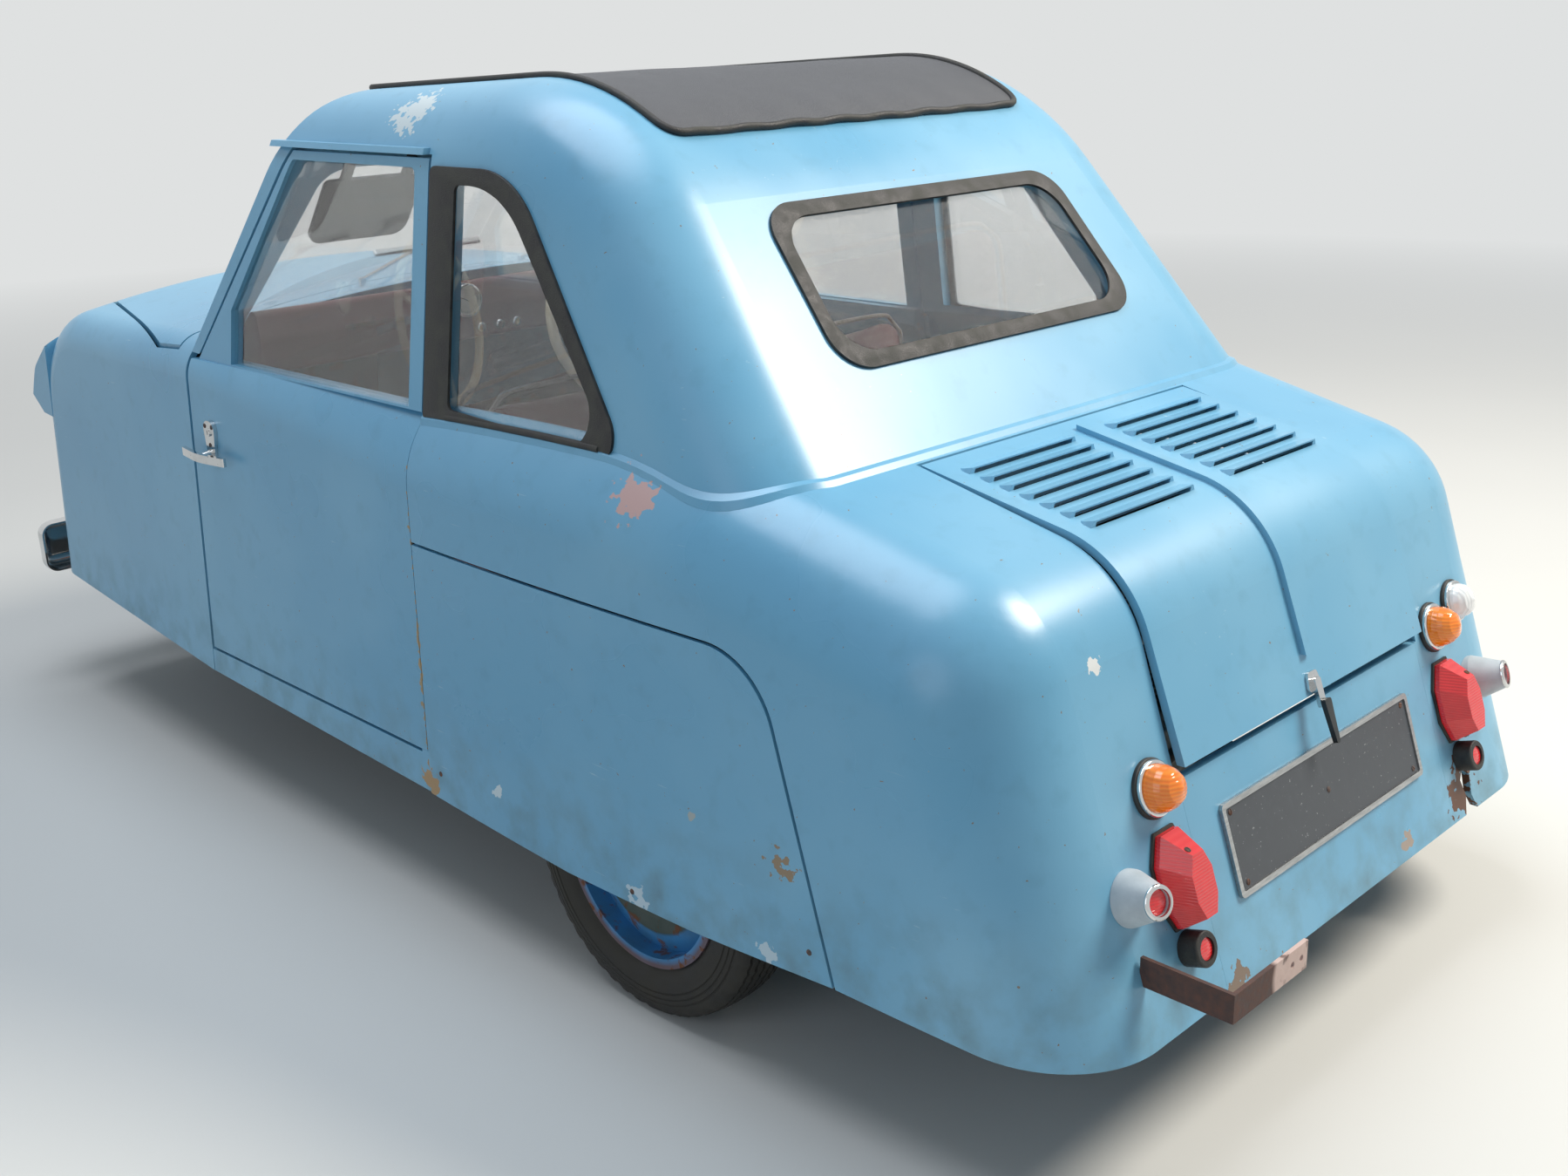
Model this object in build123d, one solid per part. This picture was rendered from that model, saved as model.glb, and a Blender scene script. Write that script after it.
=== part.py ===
# Compact microcar with one steered front wheel and two rear wheels, in millimetres.
# +X is the car's left side, +Y points to the tail, +Z up. The tyres stand on z = 0.
import math
import os

from build123d import *

os.makedirs("parts", exist_ok=True)

# Driving dimensions
WHEELBASE = 1829
FRONT_AXLE_Y = -1176
REAR_AXLE_Y = FRONT_AXLE_Y + WHEELBASE
TYRE_RADIUS = 250
TYRE_WIDTH = 110
RIM_RADIUS = 162
AXLE_Z = TYRE_RADIUS

SKIN = 12
DOOR_WALL = 45
CAB_WALL = 24
PANEL_GAP = 5
SHUT_GAP = 8
REAR_SHUT_GAP = 6
FRAME_GAP = 10
FRAME_REBATE = 10
GLASS = 5
RUBBER = 5
RUBBER_WIDTH = 14
SEAT_GAP = 0.3

# Lower body: the sides lean in above the half widths given at this height
SIDE_REFERENCE_Z = 200
BODY_FOOT_Z = 50
DOOR_FRONT_Y = -648
DOOR_REAR_Y = 135

# Nose: crowned top that rolls over to an upright front
NOSE_FRONT_Y = -1445
NOSE_TOP_Z = 958
NOSE_CORNER_Z = 938
NOSE_EDGE_RADIUS = 230
NOSE_CROWN_RADIUS = 3000
NOSE_SHOULDER_RADIUS = 80
NOSE_HALF_REAR = 676
# The rear wheels stand this far inside the body's half width, and the track follows
WHEEL_INSET = 53
REAR_TRACK = 2 * (NOSE_HALF_REAR - WHEEL_INSET)
NOSE_TAPER = 34
NOSE_HALF_FRONT = NOSE_HALF_REAR - NOSE_TAPER
NOSE_LEAN = 2.5

# Tail: level shoulder beside the cab, sloping deck, rounded edge and leaning rear face
TAIL_TOP_Z = 905
TAIL_BEND_RADIUS = 900
DECK_SLOPE = 12.9
REAR_LEAN = 18.3
DECK_CORNER_Y = 1278
DECK_CORNER_Z = 765
DECK_EDGE_RADIUS = 180
TAIL_SHOULDER_RADIUS = 165
TAIL_STEP = 10
TAIL_SWELL = 12
TAIL_TUCK = 48
TAIL_HALF_FRONT = NOSE_HALF_REAR + TAIL_STEP
TAIL_HALF_WIDEST = TAIL_HALF_FRONT + TAIL_SWELL
TAIL_WIDEST_Y = 650
TAIL_HALF_END = TAIL_HALF_WIDEST - TAIL_TUCK
TAIL_END_Y = 1580
TAIL_LEAN = 1.3

# Every cut through the body runs out to here on both sides
OUTSIDE_X = TAIL_HALF_WIDEST + 202
FLAT_CROWN_RADIUS = 60000

# Lower edge of the body in side view: y, z
BODY_EDGE = [
    (-1600, 290), (-1450, 284), (-650, 234), (300, 207), (520, 200), (800, 204), (1070, 217), (1600, 205),
]

# Cab: leaning sides, roof line, rear arc and rear slope
CAB_STEP = 45
CAB_HALF = NOSE_HALF_REAR - CAB_STEP
CAB_HALF_Z = 862
CAB_LEAN = 8.3
CAB_FOOT_Z = 700
CAB_FRONT_Y = -820
CAB_SHOULDER_RADIUS = 152
ROOF_CORNER_Y = 468
ROOF_CORNER_Z = 1382
ROOF_RISE = 2.5
ROOF_REAR_RADIUS = 480
REAR_SCREEN_SLOPE = 50.2

# Windscreen plane in side view, and the rounded header above it
SCREEN_FOOT_Y = -656
SCREEN_FOOT_Z = 866
SCREEN_SLOPE = 50.9
HEADER_RADIUS = 130
SCUTTLE_FRONT_Y = -705
SCREEN_FRAME = 20
SCREEN_FRAME_DEPTH = 26
SCREEN_INSET = 14
SCREEN_FOOT_INSET = 71
SCREEN_TOP_INSET = 153
WIPER_X = 240
WIPER_Y = -652
WIPER_STEP = 405
VISOR = 8

# Quarter windows: front edge of the glass opening and of the wide rubber ahead of it
QUARTER_FRONT_Y = 180
QUARTER_RUBBER_Y = 139
WINDOW_LIP = 12
BEAD = 6
GUTTER = 12

# Door: side outline, its frame set back behind the pillar, and its hinge axis at the rear edge
DOOR_BOTTOM_Z = 286
BELT_Z = 864
DOOR_TOP_Z = 1256
PILLAR_FOOT = 36
PILLAR_TOP = 50
FRAME_REAR = 38
FRAME_TOP = 15
HINGE_OUT = 8
HINGE_X = NOSE_HALF_REAR + HINGE_OUT
HINGE_SETBACK = 3
HINGE_FOOT_RADIUS = 14
HANDLE_Y = -556
HANDLE_Z = 728
HANDLE_PLATE = 8
LEVER_Z = 692
LEVER_HALF = 80
LEVER_OUT = 40
DOOR_DEPTH = 91
DOOR_INNER_X = NOSE_HALF_REAR - DOOR_DEPTH
JAMB_DEPTH = 70
DOOR_GLASS_FRONT_Y = -497
DOOR_GLASS_BEND_Z = 966
DOOR_GLASS_TOP_Y = -286
SILL_WALL = 55
SILL_TOP_Z = 280

# Fabric roof and the hole that it closes
FABRIC = 6
FABRIC_INSET = 207
FABRIC_HALF = CAB_HALF - FABRIC_INSET
FABRIC_FRONT_Y = -285
FABRIC_REAR_Y = 528
ROOF_HOLE_MARGIN = 45

# Rear lid, its louvres and the panel below it
LID_HALF = 338
LID_FRONT_Y = 932
LID_BOTTOM_Z = 492
LID_HINGE_Y = 929.5
LID_HINGE_Z = 845.2
LID_HINGE_X = 250
LID_AJAR = 2
HINGE_LEAF = 5
CATCH_Z = 513
LOUVRE_COUNT = 7
LOUVRE_PITCH = 35
LOUVRE_FIRST_Y = 990
LOUVRE_INNER_X = 48
LOUVRE_LENGTH = 254
LOUVRE_DEPTH = 24
LOUVRE_RISE = 9
LOUVRE_WALL = 2.5
LOUVRE_END = 11
LOUVRE_TAPER = 35
RIB_RADIUS = 8

# Bonnet outline in plan
BONNET_REAR_HALF = 628
BONNET_FRONT_HALF = 490
BONNET_FRONT_Y = -1310
BONNET_SIDE_Y = -800
BONNET_HINGE_X = 300
BONNET_GAP = 7

# Headlamps, and the hood that is turned about each lamp's own axis
LAMP_X = 500
LAMP_Z = 600
LAMP_RADIUS = 92
LAMP_RIM = 8
BROW_ROWS = [(-1493, 0), (-1493, 138, 12), (-1455, 190, 60), (-1380, 236), (-1380, 0)]
BROW_CUT = [(-1500, 690), (-1430, 648), (-1300, 640), (-1300, 1000), (-1500, 1000)]
FRONT_LAMP_Z = 466

# Side panel over each rear wheel
SIDE_PANEL_TOP_Z = 657
SIDE_PANEL_BEND_Y = 942
SIDE_PANEL_FOOT_Y = 1092
SIDE_PANEL_RADIUS = 130
SIDE_PANEL_WALL = 6

# Hole rusted through the right rear corner: x, z
RUST_HOLE = [(-372, 190), (-392, 236), (-384, 262), (-401, 281), (-416, 262), (-410, 232), (-428, 190)]

# Lamps on the tail: rubber base, chrome ring and lens, each a turned form
LAMP_ROOT = -60
AMBER = (398, 500)
RED = (397, 386)
OUTER = (492, 394)
LOW = (400, 296)
REVERSING = (482, 520)
OUTER_TURN = 12

# Blank number plate
PLATE_Z = 372
PLATE_HALF = 267
PLATE_HALF_HEIGHT = 66
PLATE_BORDER = 8

# Bumper blade in front, and the one bracket left of the rear bumper
BUMPER_HALF = 650
BUMPER_FRONT_Y = -1562
BUMPER_REAR_Y = -1500
BUMPER_Z = 313
BUMPER_HALF_HEIGHT = 58
BUMPER_WALL = 4
BUMPER_END_RADIUS = 45
BUMPER_EDGE_RADIUS = 28
BRACKET_Y = 1562
BRACKET_HOLE_X = (345, 367)

# Steering
STEER_TRAIL = 30
STEER_Y = FRONT_AXLE_Y - STEER_TRAIL
STEERING_WHEEL_X = -235
STEERING_WHEEL_Y = -430
STEERING_WHEEL_Z = 830
STEERING_WHEEL_RADIUS = 165
COLUMN_SLOPE = 18
COLUMN_RADIUS = 16
FORK_HALF = 86
FORK_PLATE = 12
FORK_CROWN_Z = 535
STEER_STEM = 20
STEER_HEAD_Z0 = 560
STEER_HEAD_Z1 = 720

# Chassis and floor
RAIL_X = 265
RAIL_WIDTH = 40
RAIL_HEIGHT = 50
RAIL_TOP_Z = 262
FLOOR = 8
BULKHEAD_Y = -880
REAR_BULKHEAD_Y = 430
SHELF_Z = 800
ARCH_INSET = 167
ARCH_INNER_X = NOSE_HALF_REAR - ARCH_INSET
ARCH_GAP = 30
ARCH_WALL = 6
ARM_X = 455

# Dashboard in side view, its dial and its knobs
DASH_FRONT_Y = -600
DASH_ROWS = [(-515, 966, 14), (-505, 900, 40), (-516, 833, 10), (DASH_FRONT_Y, 826)]
DASH_CLEARANCE = 25
DASH_HALF = DOOR_INNER_X - DASH_CLEARANCE
SEAT_CLEARANCE = 45
SEAT_HALF = DOOR_INNER_X - SEAT_CLEARANCE
DIAL = (90, 915)
DIAL_RADIUS = 35
DIAL_BACK_Y = -522
KNOB_X = (65, 18, -25)
KNOB_Z = 858


def write(name, shape):
    """Write one node; several solids in it stay apart."""
    solids = shape.solids()
    print(f"{name}: {len(solids)} solids, {round(sum(solid.volume for solid in solids) / 1000)} cm3")
    export_step(Compound(children=list(solids)) if len(solids) > 1 else solids[0], f"parts/{name}.step")


def outline(corners):
    """Closed flat outline from rows (a, b, radius)."""
    count = len(corners)
    starts = []
    ends = []
    middles = []
    for index in range(count):
        here = Vector(*corners[index][:2])
        before = Vector(*corners[index - 1][:2])
        after = Vector(*corners[(index + 1) % count][:2])
        radius = corners[index][2] if len(corners[index]) > 2 else 0
        to_before = (before - here).normalized()
        to_after = (after - here).normalized()
        middle = None
        reach = 0
        if radius:
            half = math.radians(to_before.get_angle(to_after)) / 2
            reach = radius / math.tan(half)
            bisector = (to_before + to_after).normalized()
            middle = here + bisector * (radius / math.sin(half) - radius)
        starts.append(here + to_before * reach)
        ends.append(here + to_after * reach)
        middles.append(middle)
    edges = []
    for index in range(count):
        if middles[index] is not None:
            edges.append(ThreePointArc(starts[index], middles[index], ends[index]))
        following = starts[(index + 1) % count]
        if (following - ends[index]).length > 1e-4:
            edges.append(Line(ends[index], following))
    face = make_face(edges).face()
    return face if face.normal_at().Z > 0 else -face


def side_slab(corners, x0, x1):
    """Solid between two x planes from a side view outline of (y, z, radius) rows."""
    return extrude(Plane.YZ.offset(x0) * outline(corners), x1 - x0)


def plan_slab(corners, z0, z1):
    """Solid between two heights from a plan outline of (x, y, radius) rows."""
    return extrude(Plane.XY.offset(z0) * outline(corners), z1 - z0)


def front_slab(corners, y0, y1):
    """Solid between two y planes from a front view outline of (x, z, radius) rows."""
    plane = Plane(origin=(0, y1, 0), x_dir=(1, 0, 0), z_dir=(0, -1, 0))
    return extrude(plane * outline(corners), y1 - y0)


def box(x0, x1, y0, y1, z0, z1):
    """Box between two corners."""
    return Pos((x0 + x1) / 2, (y0 + y1) / 2, (z0 + z1) / 2) * Box(x1 - x0, y1 - y0, z1 - z0)


def rod(start, end, radius):
    """Round bar between two points."""
    start = Vector(*start)
    end = Vector(*end)
    plane = Plane(origin=start, z_dir=end - start)
    return extrude(plane * Circle(radius), (end - start).length)


def mirrored(shape):
    """The same shape on the other side of the car."""
    return mirror(shape, about=Plane.YZ)


def pair(shape):
    """A shape and its mirror image as one set of solids."""
    return Compound(children=[*shape.solids(), *mirrored(shape).solids()])


def profile_edges(shape, open_y, foot_z):
    """Edges where the leaning sides meet the profile, away from the open end and the foot."""
    chosen = []
    for edge in shape.edges():
        middle = edge.center()
        if abs(middle.X) > 300 and abs(middle.Y - open_y) > 1 and middle.Z > foot_z:
            chosen.append(edge)
    return chosen


def between_sides(arc_or_line, lean, wall):
    """Space between the two leaning sides; the left one follows a line or arc in plan."""
    start = arc_or_line @ 0
    end = arc_or_line @ 1
    inside = -OUTSIDE_X
    edges = [arc_or_line, Line(end, (inside, end.Y)), Line((inside, end.Y), (inside, start.Y)),
             Line((inside, start.Y), start)]
    face = Plane.XY.offset(-300) * make_face(edges)
    left = extrude(face, 1800, dir=(0, 0, 1))
    left = left.rotate(Axis((0, 0, SIDE_REFERENCE_Z), (0, 1, 0)), -lean)
    left = Pos(-wall, 0, 0) * left
    return left & mirrored(left)


def nose_sides(wall=0):
    """Space between the nose's leaning sides."""
    reach = 200
    slope = (NOSE_HALF_REAR - NOSE_HALF_FRONT) / (DOOR_FRONT_Y - NOSE_FRONT_Y)
    rear = (NOSE_HALF_REAR + reach * slope, DOOR_FRONT_Y + reach)
    front = (NOSE_HALF_FRONT - reach * slope, NOSE_FRONT_Y - reach)
    return between_sides(Line(rear, front), NOSE_LEAN, wall)


def nose_solid(wall=0):
    """Front body form, drawn in by a wall."""
    profile = [
        (DOOR_FRONT_Y, BODY_FOOT_Z),
        (DOOR_FRONT_Y, NOSE_TOP_Z - wall),
        (NOSE_FRONT_Y + wall, NOSE_CORNER_Z - wall, NOSE_EDGE_RADIUS - wall),
        (NOSE_FRONT_Y + wall, BODY_FOOT_Z),
    ]
    axis = Axis((0, 0, NOSE_TOP_Z - NOSE_CROWN_RADIUS), (0, 1, 0))
    swing = 18
    face = (Plane.YZ * outline(profile)).rotate(axis, -swing)
    form = revolve(face, axis, 2 * swing) & nose_sides(wall)
    return form.fillet(NOSE_SHOULDER_RADIUS - wall, profile_edges(form, DOOR_FRONT_Y, SIDE_REFERENCE_Z))


def tail_solid(wall=0):
    """Rear body form, drawn in by a wall."""
    fall = math.tan(math.radians(DECK_SLOPE))
    lean = math.tan(math.radians(REAR_LEAN))
    deck_drop = wall / math.cos(math.radians(DECK_SLOPE))
    rear_draw = wall / math.cos(math.radians(REAR_LEAN))
    # Both lines move in by the wall, and their corner with them
    shift_z = (fall * rear_draw - deck_drop) / (1 - fall * lean)
    corner_y = DECK_CORNER_Y - rear_draw - lean * shift_z
    corner_z = DECK_CORNER_Z + shift_z
    foot_y = corner_y + (corner_z - BODY_FOOT_Z) * lean
    level = TAIL_TOP_Z - wall
    bend_y = corner_y - (level - corner_z) / fall
    profile = [
        (DOOR_REAR_Y, BODY_FOOT_Z),
        (foot_y, BODY_FOOT_Z),
        (corner_y, corner_z, DECK_EDGE_RADIUS - wall),
        (bend_y, level, TAIL_BEND_RADIUS),
        (DOOR_REAR_Y, level),
    ]
    plan = ThreePointArc((TAIL_HALF_FRONT - 2, DOOR_REAR_Y - 100), (TAIL_HALF_WIDEST, TAIL_WIDEST_Y),
                         (TAIL_HALF_END, TAIL_END_Y))
    form = side_slab(profile, -OUTSIDE_X, OUTSIDE_X) & between_sides(plan, TAIL_LEAN, wall)
    return form.fillet(TAIL_SHOULDER_RADIUS - wall, profile_edges(form, DOOR_REAR_Y, SIDE_REFERENCE_Z))


def cab_solid(wall=0):
    """Cab form, drawn in by a wall."""
    rise = math.tan(math.radians(ROOF_RISE))
    fall = math.tan(math.radians(REAR_SCREEN_SLOPE))
    roof_drop = wall / math.cos(math.radians(ROOF_RISE))
    rear_drop = wall / math.cos(math.radians(REAR_SCREEN_SLOPE))
    corner_y = ROOF_CORNER_Y - (rear_drop - roof_drop) / (rise + fall)
    corner_z = ROOF_CORNER_Z - roof_drop + rise * (corner_y - ROOF_CORNER_Y)
    front_z = corner_z - rise * (corner_y - CAB_FRONT_Y)
    foot_y = corner_y + (corner_z - CAB_FOOT_Z) / fall
    profile = [
        (CAB_FRONT_Y, CAB_FOOT_Z),
        (foot_y, CAB_FOOT_Z),
        (corner_y, corner_z, ROOF_REAR_RADIUS - wall),
        (CAB_FRONT_Y, front_z),
    ]
    lean = math.tan(math.radians(CAB_LEAN))
    side = wall / math.cos(math.radians(CAB_LEAN))
    low = CAB_HALF + lean * (CAB_HALF_Z - CAB_FOOT_Z + 100) - side
    high = CAB_HALF - lean * (ROOF_CORNER_Z + 100 - CAB_HALF_Z) - side
    stance = [(-low, CAB_FOOT_Z - 100), (low, CAB_FOOT_Z - 100), (high, ROOF_CORNER_Z + 100),
              (-high, ROOF_CORNER_Z + 100)]
    form = side_slab(profile, -OUTSIDE_X, OUTSIDE_X) & front_slab(stance, CAB_FRONT_Y - 10, 1500)
    return form.fillet(CAB_SHOULDER_RADIUS - wall, profile_edges(form, CAB_FRONT_Y, CAB_FOOT_Z + 1))


def body_section(y, half, lean, top, shoulder, crown_radius, wall):
    """Upright section of the door zone: foot, leaning sides, round shoulders, crowned top."""
    side = math.radians(lean)
    radius = shoulder - wall
    crown = crown_radius - wall
    crown_z = top - crown_radius
    foot = half + (SIDE_REFERENCE_Z - BODY_FOOT_Z) * math.tan(side) - wall / math.cos(side)
    # The shoulder's centre lies its radius inside both the side line and the crown
    inner = crown - radius
    turn = 0.0
    for _ in range(30):
        centre_z = crown_z + inner * math.cos(turn)
        centre_x = foot - (centre_z - BODY_FOOT_Z) * math.tan(side) - radius / math.cos(side)
        turn = math.asin(centre_x / inner)
    start = Vector(centre_x + radius * math.cos(side), centre_z + radius * math.sin(side))
    slope = (side + math.pi / 2 - turn) / 2
    middle = Vector(centre_x + radius * math.cos(slope), centre_z + radius * math.sin(slope))
    end = Vector(centre_x + radius * math.sin(turn), centre_z + radius * math.cos(turn))

    def other(point):
        return Vector(-point.X, point.Y)

    low = Vector(foot, BODY_FOOT_Z)
    edges = [
        Line(other(low), low), Line(low, start), ThreePointArc(start, middle, end),
        ThreePointArc(end, (0, top - wall), other(end)),
        ThreePointArc(other(end), other(middle), other(start)), Line(other(start), other(low)),
    ]
    plane = Plane(origin=(0, y, 0), x_dir=(1, 0, 0), z_dir=(0, -1, 0))
    return plane.from_local_coords(Wire(edges))


def middle_solid(wall=0):
    """Body form between the door lines, drawn in by a wall."""
    front = body_section(DOOR_FRONT_Y, NOSE_HALF_REAR, NOSE_LEAN, NOSE_TOP_Z, NOSE_SHOULDER_RADIUS,
                         NOSE_CROWN_RADIUS, wall)
    rear = body_section(DOOR_REAR_Y, TAIL_HALF_FRONT, TAIL_LEAN, TAIL_TOP_Z, TAIL_SHOULDER_RADIUS,
                        FLAT_CROWN_RADIUS, wall)
    return Solid.make_loft([front, rear], True)


def screen_y(z):
    """Windscreen plane position at a height, on its outer face."""
    return SCREEN_FOOT_Y + (z - SCREEN_FOOT_Z) / math.tan(math.radians(SCREEN_SLOPE))


def deck_z(y):
    """Height of the sloping rear deck."""
    return DECK_CORNER_Z + (DECK_CORNER_Y - y) * math.tan(math.radians(DECK_SLOPE))


def rear_y(z):
    """Position of the leaning rear face."""
    return DECK_CORNER_Y + (DECK_CORNER_Z - z) * math.tan(math.radians(REAR_LEAN))


def roof_z(y):
    """Height of the roof line ahead of its rear arc."""
    return ROOF_CORNER_Z + (y - ROOF_CORNER_Y) * math.tan(math.radians(ROOF_RISE))


def above_edge():
    """Space above the body's lower edge."""
    rows = [*BODY_EDGE, (BODY_EDGE[-1][0], 1600), (BODY_EDGE[0][0], 1600)]
    return side_slab(rows, -OUTSIDE_X, OUTSIDE_X)


def tilted_plane(y, z, slope):
    """Plane facing up and along Y whose second axis runs down the slope to the tail."""
    turn = math.radians(slope)
    return Plane(origin=(0, y, z), x_dir=(1, 0, 0), z_dir=(0, math.sin(turn), math.cos(turn)))


# Body forms, whole and drawn in by their walls
ABOVE_EDGE = above_edge()
NOSE = nose_solid()
TAIL = tail_solid()
MIDDLE = middle_solid()
CAB = cab_solid()
NOSE_SKIN = (NOSE - nose_solid(SKIN)) & ABOVE_EDGE
TAIL_SKIN = (TAIL - tail_solid(SKIN)) & ABOVE_EDGE
DOOR_BLOCK = MIDDLE - middle_solid(DOOR_WALL)
TAIL_LIFTED = tail_solid(-SEAT_GAP)
CAB_SHELL = CAB - cab_solid(CAB_WALL)


def frame_line(setback_foot, setback_top, foot_z, top_z):
    """Two points of a line behind the windscreen plane, at two heights."""
    return (screen_y(foot_z) + setback_foot, foot_z), (screen_y(top_z) + setback_top, top_z)


def door_outline(shrink):
    """Side view of the door's window frame, from below the belt to its top."""
    foot, top = frame_line(PILLAR_FOOT + shrink, PILLAR_TOP + shrink, BELT_Z - 20, DOOR_TOP_Z - shrink / 2)
    rear = DOOR_REAR_Y - REAR_SHUT_GAP
    return [foot, (rear, BELT_Z - 20), (rear, top[1]), top]


def door_glass_outline(margin):
    """Side view of the door's window, grown by a margin."""
    rear = DOOR_REAR_Y - REAR_SHUT_GAP - FRAME_REAR + margin
    top_z = DOOR_TOP_Z - FRAME_TOP + margin
    low_z = BELT_Z + 3 - margin
    front = DOOR_GLASS_FRONT_Y - margin
    slope = (DOOR_GLASS_TOP_Y - DOOR_GLASS_FRONT_Y) / (DOOR_TOP_Z - FRAME_TOP - DOOR_GLASS_BEND_Z)
    top_y = front + (top_z - DOOR_GLASS_BEND_Z) * slope
    return [(front, low_z), (rear, low_z), (rear, top_z, 12), (top_y, top_z, 10), (front, DOOR_GLASS_BEND_Z)]


def make_doors():
    """Left door: hollow-backed lower panel with a rebated window frame, then its mirror image."""
    lower = [
        (DOOR_FRONT_Y + SHUT_GAP, DOOR_BOTTOM_Z), (DOOR_REAR_Y - REAR_SHUT_GAP, DOOR_BOTTOM_Z),
        (DOOR_REAR_Y - REAR_SHUT_GAP, BELT_Z), (DOOR_FRONT_Y + SHUT_GAP, BELT_Z),
    ]
    panel = DOOR_BLOCK & side_slab(lower, DOOR_INNER_X, OUTSIDE_X)
    outer_frame = (CAB - cab_solid(FRAME_REBATE)) & side_slab(door_outline(0), 300, OUTSIDE_X)
    inner_frame = (cab_solid(FRAME_REBATE) - cab_solid(CAB_WALL)) & side_slab(door_outline(9), 300, OUTSIDE_X)
    frame = (outer_frame + inner_frame) - side_slab(door_glass_outline(0), 300, OUTSIDE_X)
    frame = frame & box(300, OUTSIDE_X, -900, 400, BELT_Z - 1, 1400)
    left = panel + frame
    glass = (cab_solid(8) - cab_solid(8 + GLASS)) & side_slab(door_glass_outline(-SEAT_GAP), 300, OUTSIDE_X)
    glass = glass - side_slab(lower, 300, OUTSIDE_X)
    write("door_left", left)
    write("door_right", mirrored(left))
    write("door_glass_left", glass)
    write("door_glass_right", mirrored(glass))


def skin_x(y, z):
    """Outer face of the door panel at a place."""
    probe = MIDDLE & box(0, OUTSIDE_X, y - 0.5, y + 0.5, z - 0.5, z + 0.5)
    return probe.bounding_box().max.X


def make_handles():
    """Pear-shaped plate with its lock, and a bowed lever on a neck below it."""
    face = skin_x(HANDLE_Y, HANDLE_Z)
    front = face + HANDLE_PLATE
    pear = [(HANDLE_Y - 22, HANDLE_Z + 30, 18), (HANDLE_Y + 22, HANDLE_Z + 30, 18),
            (HANDLE_Y + 13, HANDLE_Z - 46, 10), (HANDLE_Y - 13, HANDLE_Z - 46, 10)]
    plate = side_slab(pear, face - 20, front) - middle_solid(-SEAT_GAP)
    lock = rod((front - 2, HANDLE_Y, HANDLE_Z + 8), (front + 3, HANDLE_Y, HANDLE_Z + 8), 8)
    keyway = box(front + 1, front + 9, HANDLE_Y - 1, HANDLE_Y + 1, HANDLE_Z + 4, HANDLE_Z + 12)
    neck = rod((front - 2, HANDLE_Y, LEVER_Z + 4), (face + LEVER_OUT - 6, HANDLE_Y, LEVER_Z), 7)
    out = face + LEVER_OUT
    bow = [(out - 20, HANDLE_Y - LEVER_HALF, 2), (out - 12, HANDLE_Y - LEVER_HALF, 3), (out, HANDLE_Y, 180),
           (out - 12, HANDLE_Y + LEVER_HALF, 3), (out - 20, HANDLE_Y + LEVER_HALF, 2), (out - 9, HANDLE_Y, 170)]
    lever = plan_slab(bow, LEVER_Z - 8, LEVER_Z + 8)
    left = plate + lock + neck + lever - keyway
    write("door_handle_left", left)
    write("door_handle_right", mirrored(left))


def screen_profile(setback):
    """Side view of what lies ahead of the windscreen plane and its rounded header."""
    turn = math.radians(SCREEN_SLOPE)
    shift = setback / math.sin(turn)
    low_z = 500
    corner_z = roof_z(-200) - setback
    corner_y = screen_y(corner_z) + shift
    return [(screen_y(low_z) + shift, low_z), (corner_y, corner_z, HEADER_RADIUS),
            (corner_y + 400, corner_z + 400 * math.tan(math.radians(ROOF_RISE))),
            (corner_y + 400, 1700), (-1400, 1700), (-1400, low_z)]


def screen_plane():
    """Plane of the windscreen, its second axis running up the slope."""
    turn = math.radians(SCREEN_SLOPE)
    return Plane(origin=(0, SCREEN_FOOT_Y, SCREEN_FOOT_Z), x_dir=(1, 0, 0), z_dir=(0, -math.sin(turn), math.cos(turn)))


def screen_rows(margin):
    """Windscreen opening in its own plane, grown by a margin."""
    low = 62 - margin
    high = 470 + margin
    wide = CAB_HALF - SCREEN_FOOT_INSET + margin
    narrow = CAB_HALF - SCREEN_TOP_INSET + margin
    return [(-wide, low, 45), (wide, low, 45), (narrow, high, 60), (-narrow, high, 60)]


def screen_layer(low, high):
    """Layer of space between two offsets from the windscreen plane."""
    return slab_on(screen_plane(), [(-OUTSIDE_X, -60), (OUTSIDE_X, -60), (OUTSIDE_X, 640), (-OUTSIDE_X, 640)], low, high)


def rear_window_rows(margin):
    """Rear window outline in the plane of the rear slope."""
    return [(-351 - margin, -margin, 62), (351 + margin, -margin, 62), (368 + margin, 290 + margin, 62),
            (-368 - margin, 290 + margin, 62)]


def quarter_rows(margin, front=QUARTER_FRONT_Y):
    """Quarter window outline in side view."""
    return [(front - margin, 1246 + margin, 12), (351 + margin, 1246 + margin, 170),
            (660 + 1.8 * margin, 836 - margin, 48), (front - margin, 852 - margin, 12)]


REAR_WINDOW_PLANE = tilted_plane(631, ROOF_CORNER_Z - (631 - ROOF_CORNER_Y)
                                 * math.tan(math.radians(REAR_SCREEN_SLOPE)), REAR_SCREEN_SLOPE)


def slab_on(plane, rows, low, high):
    """Solid between two offsets from a plane."""
    return extrude(plane.offset(low) * outline(rows), high - low)


def scuttle():
    """Panel between bonnet and windscreen, part of the crowned nose form."""
    strip = NOSE_SKIN & box(-OUTSIDE_X, OUTSIDE_X, SCUTTLE_FRONT_Y, DOOR_FRONT_Y, 820, 1100)
    tongue_form = MIDDLE - middle_solid(SKIN)
    tongue = tongue_form & box(3 - DOOR_INNER_X, DOOR_INNER_X - 3, DOOR_FRONT_Y, -520, 860, 1100)
    return strip + (tongue & screen_layer(-SCREEN_FRAME_DEPTH, 300))


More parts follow.
